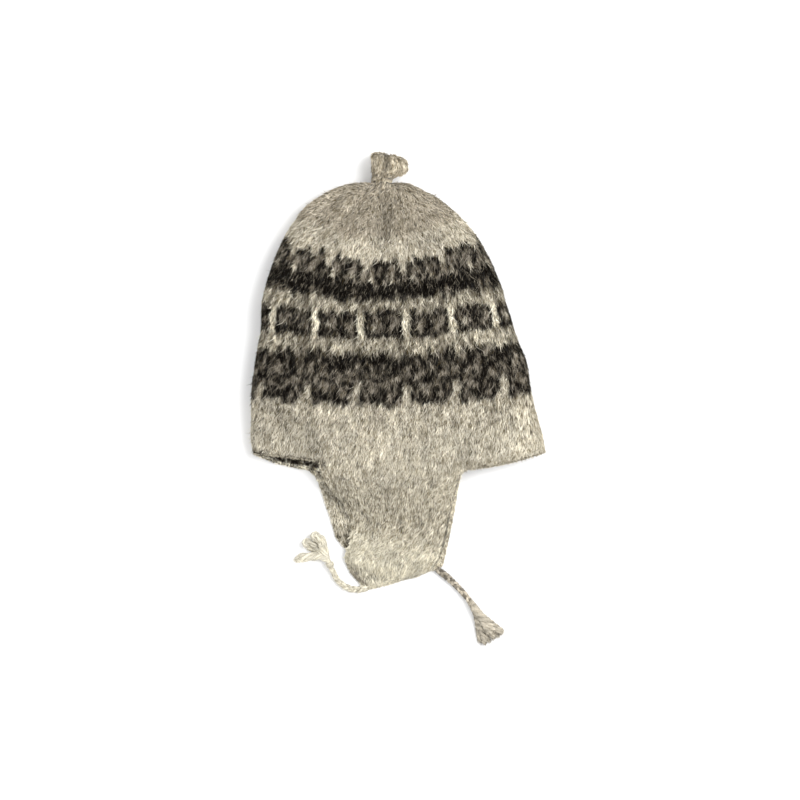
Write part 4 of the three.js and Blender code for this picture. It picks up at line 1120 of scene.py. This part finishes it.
woolTone = toneGroup()
knitRelief = knitGroup()
groundKnit = groundMaterial("knitted ground", 0.26, 0.8)
brushedFibre = fibreMaterial("brushed alpaca fibre", 1.12, 2.5, 0.66)
spunYarn = yarnMaterial("spun alpaca yarn", 0.62)
print("materials made")

# Knitted pieces, placed so that the crown fits its CAD node
trial, _, _ = crownGrid(np.linspace(0, lastRow, 82), 0, 0)
cadCrownLow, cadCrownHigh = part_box("crown")
for axis in (0, 1):
    low, high = trial[..., axis].min(), trial[..., axis].max()
    bodyShift[axis] = (cadCrownLow[axis] + cadCrownHigh[axis]) / 2 - (low + high) / 2
print("body shift in mm", np.round(bodyShift * 1000, 2).tolist())

crownPiece = buildCrown()
upperFlapPiece = buildFlap("flap_upper_knit", upperFlap, True, upperFlapColours)
lowerFlapPiece = buildFlap("flap_lower_knit", lowerFlap, False, lowerFlapColours)
tuftPiece = buildTuft()
for piece in (crownPiece, upperFlapPiece, lowerFlapPiece, tuftPiece):
    piece.data.materials.append(groundKnit)
print("knitted pieces made")

# Brushed fibres on each of them
fuzz = fuzzTree()
brushed = {"Length": 4.8 * mm, "Width": 0.5 * mm, "Lift": 0.14, "Scatter": 0.5, "Curl": 0.3, "Roll": 0.9}
coarse = {**brushed, "Width": 1.1 * mm}
hairs = {
    "Length": 8 * mm, "Width": 0.36 * mm, "Lift": 0.18, "Scatter": 0.7, "Curl": 0.5, "Roll": 0.5,
    "Zone Range": 0.8,
}
halo = {
    "Length": 3 * mm, "Width": 0.2 * mm, "Lift": 0.9, "Scatter": 0.7, "Curl": 0.6, "Roll": 0.5,
    "Clump Share": 0.0, "Edges Only": 1.3,
}
tuftFibres = {**brushed, "Length": 3.2 * mm, "Width": 0.55 * mm, "Lift": 0.16, "Clump Size": 1 * mm}
bothSides = {"Zone": 1.5, "Zone Range": 0.8}
fuzzLooks = {
    "crown_fibres_rim": (crownPiece, brushed, {"Zone": 1.0, "Density": 2.1e6, "Seed": 1}),
    "crown_fibres_top": (crownPiece, brushed, {"Zone": 2.0, "Density": 2.2e6, "Length": 4.2 * mm, "Seed": 2}),
    "crown_fibres_under": (crownPiece, coarse, {"Zone": 3.0, "Density": 0.5e6, "Seed": 3}),
    "crown_fibres_inside": (crownPiece, coarse, {"Zone": 4.0, "Density": 1e6, "Seed": 4}),
    "crown_hairs": (crownPiece, hairs, {"Zone": 1.5, "Density": 0.3e6, "Seed": 9}),
    "crown_halo": (crownPiece, halo, {"Zone": 2.0, "Zone Range": 1.4, "Density": 5e6, "Seed": 10}),
    "flap_upper_fibres": (upperFlapPiece, brushed, {"Zone": 1.0, "Density": 2.4e6, "Seed": 5}),
    "flap_under_fibres": (upperFlapPiece, coarse, {"Zone": 2.0, "Density": 0.5e6, "Seed": 6}),
    "flap_halo": (upperFlapPiece, halo, {**bothSides, "Density": 6e6, "Seed": 11}),
    "flap_lower_fibres": (lowerFlapPiece, brushed, {**bothSides, "Density": 1.5e6, "Seed": 7}),
    "tuft_fibres": (tuftPiece, tuftFibres, {"Zone": 1.0, "Density": 2.6e6, "Seed": 8}),
}
fuzzPieces = {name: grow(name, source, fuzz, {**look, **own, "Material": brushedFibre})
              for name, (source, look, own) in fuzzLooks.items()}
print("fibres grown")


# Ties, bindings and tassels
def smoothLine(points, steps):
    points = np.asarray(points, float)
    padded = np.concatenate([[2 * points[0] - points[1]], points, [2 * points[-1] - points[-2]]])
    place = np.linspace(0, len(points) - 1, steps)
    i = np.minimum(place.astype(int), len(points) - 2)
    t = (place - i)[:, None]
    a, b, c, d = padded[i], padded[i + 1], padded[i + 2], padded[i + 3]
    return 0.5 * (2 * b + (c - a) * t + (2 * a - 5 * b + 4 * c - d) * t**2 + (3 * b - a - 3 * c + d) * t**3)


def runningLength(line):
    return np.concatenate([[0], np.cumsum(np.linalg.norm(np.diff(line, axis=0), axis=1))])


# Directions to the side of a line and up from it
def lineFrame(line):
    tangent = unit(np.gradient(line, axis=0))
    side = unit(np.cross(tangent, [0, 0, 1]))
    return side, np.cross(side, tangent)


# Yarns along several lines, as one piece. Each point has its yarn's radius and tone
def plyYarns(name, lines, radii, tones, colour, seed, pitch, ridge):
    points = np.concatenate(lines)
    edges, start = [], 0
    for line in lines:
        edges += [(start + i, start + i + 1) for i in range(len(line) - 1)]
        start += len(line)
    mesh = bpy.data.meshes.new(name)
    mesh.from_pydata(points.tolist(), edges, [])
    place = np.arange(len(points))
    colours = shade(np.array(colour) * np.ones((len(points), 3)), place * 0.2, place * 0.05, seed, 0.2, 0.2)
    storeValues(mesh, "yarnRadius", np.concatenate(radii))
    storeValues(mesh, "yarnColour", colours * np.concatenate(tones)[:, None])
    for label, value in {"fuzzZone": 1, "stray": 1, "reach": 1, "contrast": 0.45}.items():
        storeValues(mesh, label, np.full(len(points), value))
    carrier = placeObject(name + "_lines", mesh)
    piece = grow(name, carrier, yarn, {"Plies": 2.0, "Pitch": pitch, "Ridge": ridge, "Material": spunYarn})
    bpy.data.objects.remove(carrier)
    return piece


# A route goes in steps of millimetres from where the tie leaves its flap
tieLook = {
    "diameter": 5.6 * mm,
    "float": 0.1 * mm,
    "strand": 1.4 * mm,
    "reach": 1.6 * mm,
    "flatness": 0.6,
    "endTaper": 0.16,
    "plyPitch": 4.6 * mm,
}
leftTieLook = {
    "inset": (1.4 * mm, 1.6 * mm),
    "route": [
        (0, 0, 0), (-3.4, -0.9, 0), (-7.0, -1.5, 0), (-10.9, -1.5, 0), (-14.8, -0.7, 0), (-18.4, 0.8, 0),
        (-21.7, 2.8, 0), (-24.5, 5.4, 0.1), (-26.7, 8.4, 0.4), (-28.4, 11.7, 0.9), (-29.9, 15.0, 1.4),
        (-31.2, 17.9, 1.8),
    ],
    "pitch": 19 * mm,
    "ridge": 0.12 * mm,
    "underShadeLevel": 0.8,
    "strandTones": [1, 0.95, 1.02],
    "exitTone": 0.96,
    "endTone": 0.96,
}
rightTieLook = {
    "inset": (-1 * mm, 0.6 * mm),
    "route": [
        (0, 0, 0), (3.0, -2.1, 0), (6.1, -4.4, 0), (9.1, -6.9, 0), (12.0, -9.6, 0), (14.9, -12.4, 0),
        (17.8, -15.2, 0.1), (20.6, -18.1, 0.4), (23.4, -21.1, 0.9), (26.0, -24.2, 1.4), (28.2, -27.3, 1.8),
    ],
    "pitch": 12 * mm,
    "ridge": 0.2 * mm,
    "underShadeLevel": 0.15,
    "strandTones": [1.35, 0.5, 1.1],
    "exitTone": 0.7,
    "endTone": 1.3,
}


def buildTie(name, tip, colour, seed, look):
    x, y = tip[0] + look["inset"][0], tip[1] + look["inset"][1]
    z = tieLook["diameter"] / 2 + tieLook["float"]
    points = np.array([(x + right * mm, y + ahead * mm, z + up * mm) for right, ahead, up in look["route"]])
    centreline = smoothLine(points + bodyShift, 150)
    length = runningLength(centreline)
    along = length / length[-1]
    side, up = lineFrame(centreline)
    slim = 1 - tieLook["endTaper"] * smooth(along)
    reach = tieLook["reach"] * slim
    lines, radii, tones = [], [], []
    for strand in range(3):
        phase = 2 * math.pi * (length / look["pitch"] + strand / 3)
        rise = np.sin(2 * phase)
        line = centreline + side * (reach * np.sin(phase))[:, None]
        line = line + up * (reach * tieLook["flatness"] * rise)[:, None]
        line[:, 2] = np.maximum(line[:, 2], tieLook["strand"] + 0.2 * mm)
        lines.append(line)
        radii.append(tieLook["strand"] * slim)
        # Painted shade where a strand passes under the others
        underShade = mix(look["underShadeLevel"], 1.05, smooth((rise + 0.75) / 1.1))
        tones.append(underShade * look["strandTones"][strand] * mix(look["exitTone"], look["endTone"], along))
    braid = plyYarns(name, lines, radii, tones, colour, seed, tieLook["plyPitch"], look["ridge"])
    return braid, centreline


def tieEnd(centreline):
    return centreline[-1], unit(centreline[-1] - centreline[-4])


bindingLook = {
    "yarn": 1.6 * mm,
    "turns": 2,
    "extraTurn": 0.6,
    "yarnShare": 0.75,
    "plyPitch": 3 * mm,
    "ridge": 0.1 * mm,
    "leftTighter": 0.3 * mm,
    "rightTighter": 0.9 * mm,
}


def buildBinding(name, centreline, colour, seed, tighter):
    end, heading = tieEnd(centreline)
    side = unit(np.cross(heading, [0, 0, 1]))
    up = np.cross(side, heading)
    width, allTurns = bindingLook["yarn"], bindingLook["turns"] + bindingLook["extraTurn"]
    turns = np.linspace(0, allTurns, 90)
    radius = tasselLook["neck"] + seamGap + width / 2 - tighter
    rise = seamGap * 2 + width * (0.5 + turns * bindingLook["turns"] / allTurns * 0.9)
    angle = 2 * math.pi * turns
    line = end + heading * rise[:, None]
    line = line + side * (radius * np.cos(angle))[:, None] + up * (radius * np.sin(angle))[:, None]
    radii = [np.full(len(line), width / 2 * bindingLook["yarnShare"])]
    tones = [np.ones(len(line))]
    return plyYarns(name, [line], radii, tones, colour, seed, bindingLook["plyPitch"], bindingLook["ridge"])


# Strands by number: heading and curl in degrees from the tie's end, long as a share of length, rest in
# strands above the floor. Those in looped turn back at their ends
tasselLook = {
    "neck": 2.1 * mm,
    "strand": 2.9 * mm,
    "sunk": 1.5 * mm,
    "bends": 4,
    "turnShare": 0.5,
    "fallShare": 0.7,
    "yarnsPerStrand": 3,
    "yarnRadius": 1.15 * mm,
    "spread": 1.2 * mm,
    "loop": 2.4 * mm,
    "thicker": 1.4,
    "ridge": 0.14 * mm,
}
leftTasselLook = {
    "length": 31 * mm,
    "heading": [62, 54, 26, 16, 5, -6, -17, -25, 12],
    "curl": [18, 20, 16, 12, 10, 8, 14, 20, -14],
    "long": [1, 0.94, 0.74, 0.81, 0.74, 0.81, 0.74, 0.68, 0.58],
    "rest": [0.07, 0.62, 0.07, 1.1, 0.1, 1.17, 0.14, 0.76, 1.86],
    "looped": (3, 5, 7),
    "thick": (0, 1),
    "twistPitch": 30 * mm,
    "plyPitch": 12 * mm,
    "darkestUnderShade": 0.75,
    "opensFrom": 4 * mm,
    "opensOver": 10 * mm,
}
rightTasselLook = {
    "length": 35.5 * mm,
    "heading": [-25, -18, -11, -4, 3, 10, 15, 2, 9],
    "curl": [-2, -2, -3, 1, 2, 3, 2, -10, -4],
    "long": [0.94, 1, 0.98, 0.99, 0.99, 1, 1, 0.82, 0.78],
    "rest": [0.1, 0.83, 0.1, 1.17, 0.1, 0.9, 0.1, 2.07, 1.79],
    "looped": (),
    "thick": (0, 1, 7, 8),
    "twistPitch": 15 * mm,
    "plyPitch": 8 * mm,
    "darkestUnderShade": 0.5,
    "opensFrom": 1 * mm,
    "opensOver": 8 * mm,
}


# The bends of one strand from the tassel's head outwards and down to where it rests
def strandPoints(headPoint, sideways, look, i):
    points = [headPoint.copy()]
    step = look["long"][i] * look["length"] / tasselLook["bends"]
    resting = tasselLook["strand"] * (0.5 + look["rest"][i])
    for bend in range(1, tasselLook["bends"] + 1):
        share = bend / tasselLook["bends"]
        turn = look["heading"][i] * float(smooth(share / tasselLook["turnShare"])) + look["curl"][i] * share
        angle = sideways + math.radians(turn)
        point = points[-1] + step * np.array([math.cos(angle), math.sin(angle), 0])
        point[2] = mix(headPoint[2], resting, float(smooth(share / tasselLook["fallShare"])))
        points.append(point)
    if i in look["looped"]:
        loop = tasselLook["loop"]
        ahead = unit(points[-1] - points[-2])
        across = np.array([-ahead[1], ahead[0], 0]) * loop * (1 if i % 2 else -1)
        lift = np.array([0, 0, 0.4 * mm])
        points.append(points[-1] + ahead * loop * 0.6 + across * 0.9 + lift)
        points.append(points[-2] + across * 1.7 + lift * 2)
        points.append(points[-3] + across * 1.5 - ahead * loop * 1.5 + lift * 2)
    return points


def buildTassel(name, centreline, colour, seed, look):
    generator = np.random.default_rng(seed)
    end, heading = tieEnd(centreline)
    sideways = math.atan2(heading[1], heading[0])
    neck = bindingLook["yarn"] * bindingLook["turns"] + 2 * seamGap
    start = end - heading * tasselLook["sunk"]
    headPoint = end + heading * (seamGap + neck + tasselLook["neck"])
    yarnRadius, yarnCount = tasselLook["yarnRadius"], tasselLook["yarnsPerStrand"]
    lines, radii, tones = [], [], []
    for i in range(len(look["heading"])):
        points = strandPoints(headPoint, sideways, look, i)
        base = smoothLine([start, mix(start, headPoint, 0.5)] + points, 70)
        length = runningLength(base)
        side, up = lineFrame(base)
        offset = generator.uniform(0, 2 * math.pi)
        fullness = tasselLook["thicker"] if i in look["thick"] else 1
        opened = ramp(length, look["opensFrom"], look["opensOver"])
        spread = tasselLook["spread"] * mix(0.6, fullness, opened)
        for k in range(yarnCount):
            phase = 2 * math.pi * (length / look["twistPitch"] + k / yarnCount) + offset
            line = base + side * (spread * np.cos(phase))[:, None]
            line = line + up * (0.7 * spread * np.sin(phase))[:, None]
            keep = int(len(line) * generator.uniform(0.95, 1))
            line = line[:keep]
            line[:, 2] = np.maximum(line[:, 2], yarnRadius + 0.2 * mm)
            blunt = np.sqrt(np.clip((keep - 1 - np.arange(keep)) / 3 + 0.25, 0, 1))
            # Painted shade on the yarns that lie under the strand's twist
            underShade = mix(look["darkestUnderShade"], 1, smooth((np.sin(phase) + 0.6) / 1.2))
            lines.append(line)
            radii.append(yarnRadius * blunt * mix(0.75, fullness, opened[:keep]))
            tones.append(generator.uniform(0.8, 1.15) * underShade[:keep])
    return plyYarns(name, lines, radii, tones, colour, seed, look["plyPitch"], tasselLook["ridge"])


yarn = yarnTree()
leftTip, rightTip = flapPlan(upperFlap, 1.0)[0], flapPlan(lowerFlap, 1.0)[1]
leftTie, leftLine = buildTie("tie_left_braid", leftTip, yarns["creamTie"], 51, leftTieLook)
rightTie, rightLine = buildTie("tie_right_braid", rightTip, yarns["greyTie"], 52, rightTieLook)
leftTighter, rightTighter = bindingLook["leftTighter"], bindingLook["rightTighter"]
leftBinding = buildBinding("binding_left_yarn", leftLine, yarns["creamTie"], 53, leftTighter)
rightBinding = buildBinding("binding_right_yarn", rightLine, yarns["rightTassel"], 54, rightTighter)
leftTassel = buildTassel("tassel_left_yarn", leftLine, yarns["leftTassel"], 55, leftTasselLook)
rightTassel = buildTassel("tassel_right_yarn", rightLine, yarns["rightTassel"], 56, rightTasselLook)
yarnFuzzLook = {
    "Length": 2.6 * mm, "Width": 0.2 * mm, "Lift": 0.3, "Scatter": 0.7, "Curl": 0.4, "Roll": 0.5,
    "Zone": 1.0, "Density": 1e6, "Material": brushedFibre,
}


def growYarnFuzz(pieces, firstSeed):
    return [grow(piece.name + "_fuzz", piece, fuzz, {**yarnFuzzLook, "Seed": firstSeed + i})
            for i, piece in enumerate(pieces)]


leftYarnFuzz = growYarnFuzz([leftTie, leftBinding, leftTassel], 60)
rightYarnFuzz = growYarnFuzz([rightTie, rightBinding, rightTassel], 70)
print("ties and tassels made")

# Each piece, a slot name that nothing here uses, and the CAD node that it stands for
roles = [
    (crownPiece, "crown_knit", ["crown"]),
    (upperFlapPiece, "flap_knit", ["ear_flap_upper"]),
    (lowerFlapPiece, "flap_knit", ["ear_flap_lower"]),
    (tuftPiece, "tuft_knit", ["top_tuft"]),
    (leftTie, "cream_yarn", ["tie_left"]),
    (rightTie, "heather_yarn", ["tie_right"]),
    (leftBinding, "cream_yarn", ["binding_left"]),
    (rightBinding, "heather_yarn", ["binding_right"]),
    (leftTassel, "cream_yarn", ["tassel_left"]),
    (rightTassel, "heather_yarn", ["tassel_right"]),
]
roles += [(piece, name.split("_")[0] + "_knit", []) for name, piece in fuzzPieces.items()]
roles += [(piece, "cream_yarn", []) for piece in leftYarnFuzz]
roles += [(piece, "heather_yarn", []) for piece in rightYarnFuzz]
for piece, slotName, nodes in roles:
    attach(piece, "root")
    if nodes:
        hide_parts(*nodes)

# Floor, light and camera
floorMesh = bpy.data.meshes.new("floor")
floorMesh.from_pydata([(-3, -3, 0), (3, -3, 0), (3, 3, 0), (-3, 3, 0)], [], [(0, 1, 2, 3)])
floor = placeObject("floor", floorMesh)
floorMaterial, _, floorInputs = startMaterial("white paper", 0.9, 0)
floorInputs["Base Color"].default_value = (0.95, 0.95, 0.95, 1)
floorMesh.materials.append(floorMaterial)


# Each flap's outline, computed and not used
def declareFlap(flap):
    line = flapOutline(flap)


declareFlap(upperFlap)
declareFlap(lowerFlap)

lighting = {"world": 1.07, "key": 46, "keyPlace": (1.35, 0.5, 1.9), "keySize": 1.5}
world = bpy.data.worlds.new("studio")
bpy.context.scene.world = world
world.use_nodes = True
background = world.node_tree.nodes["Background"].inputs
background["Color"].default_value = (1, 1, 1, 1)
background["Strength"].default_value = lighting["world"]
keyData = bpy.data.lights.new("soft box", "AREA")
keyData.shape = "DISK"
keyData.size = lighting["keySize"]
keyData.energy = lighting["key"]
keyLight = placeObject("soft box", keyData)
keyLight.location = lighting["keyPlace"]
keyLight.rotation_euler = (-Vector(lighting["keyPlace"])).to_track_quat("-Z", "Y").to_euler()

shot = {"height": 3.0, "width": 0.696, "subjectHeight": 0.02, "x": 1.6 * mm, "y": -25.2 * mm, "sensor": 36}
cameraData = bpy.data.cameras.new("camera")
cameraData.sensor_width = shot["sensor"]
cameraData.lens = shot["sensor"] * (shot["height"] - shot["subjectHeight"]) / shot["width"]
camera = placeObject("camera", cameraData)
camera.location = (shot["x"] + bodyShift[0], shot["y"] + bodyShift[1], shot["height"])
bpy.context.scene.camera = camera
bpy.context.scene.view_settings.view_transform = "Standard"
print("stage, light and camera set")
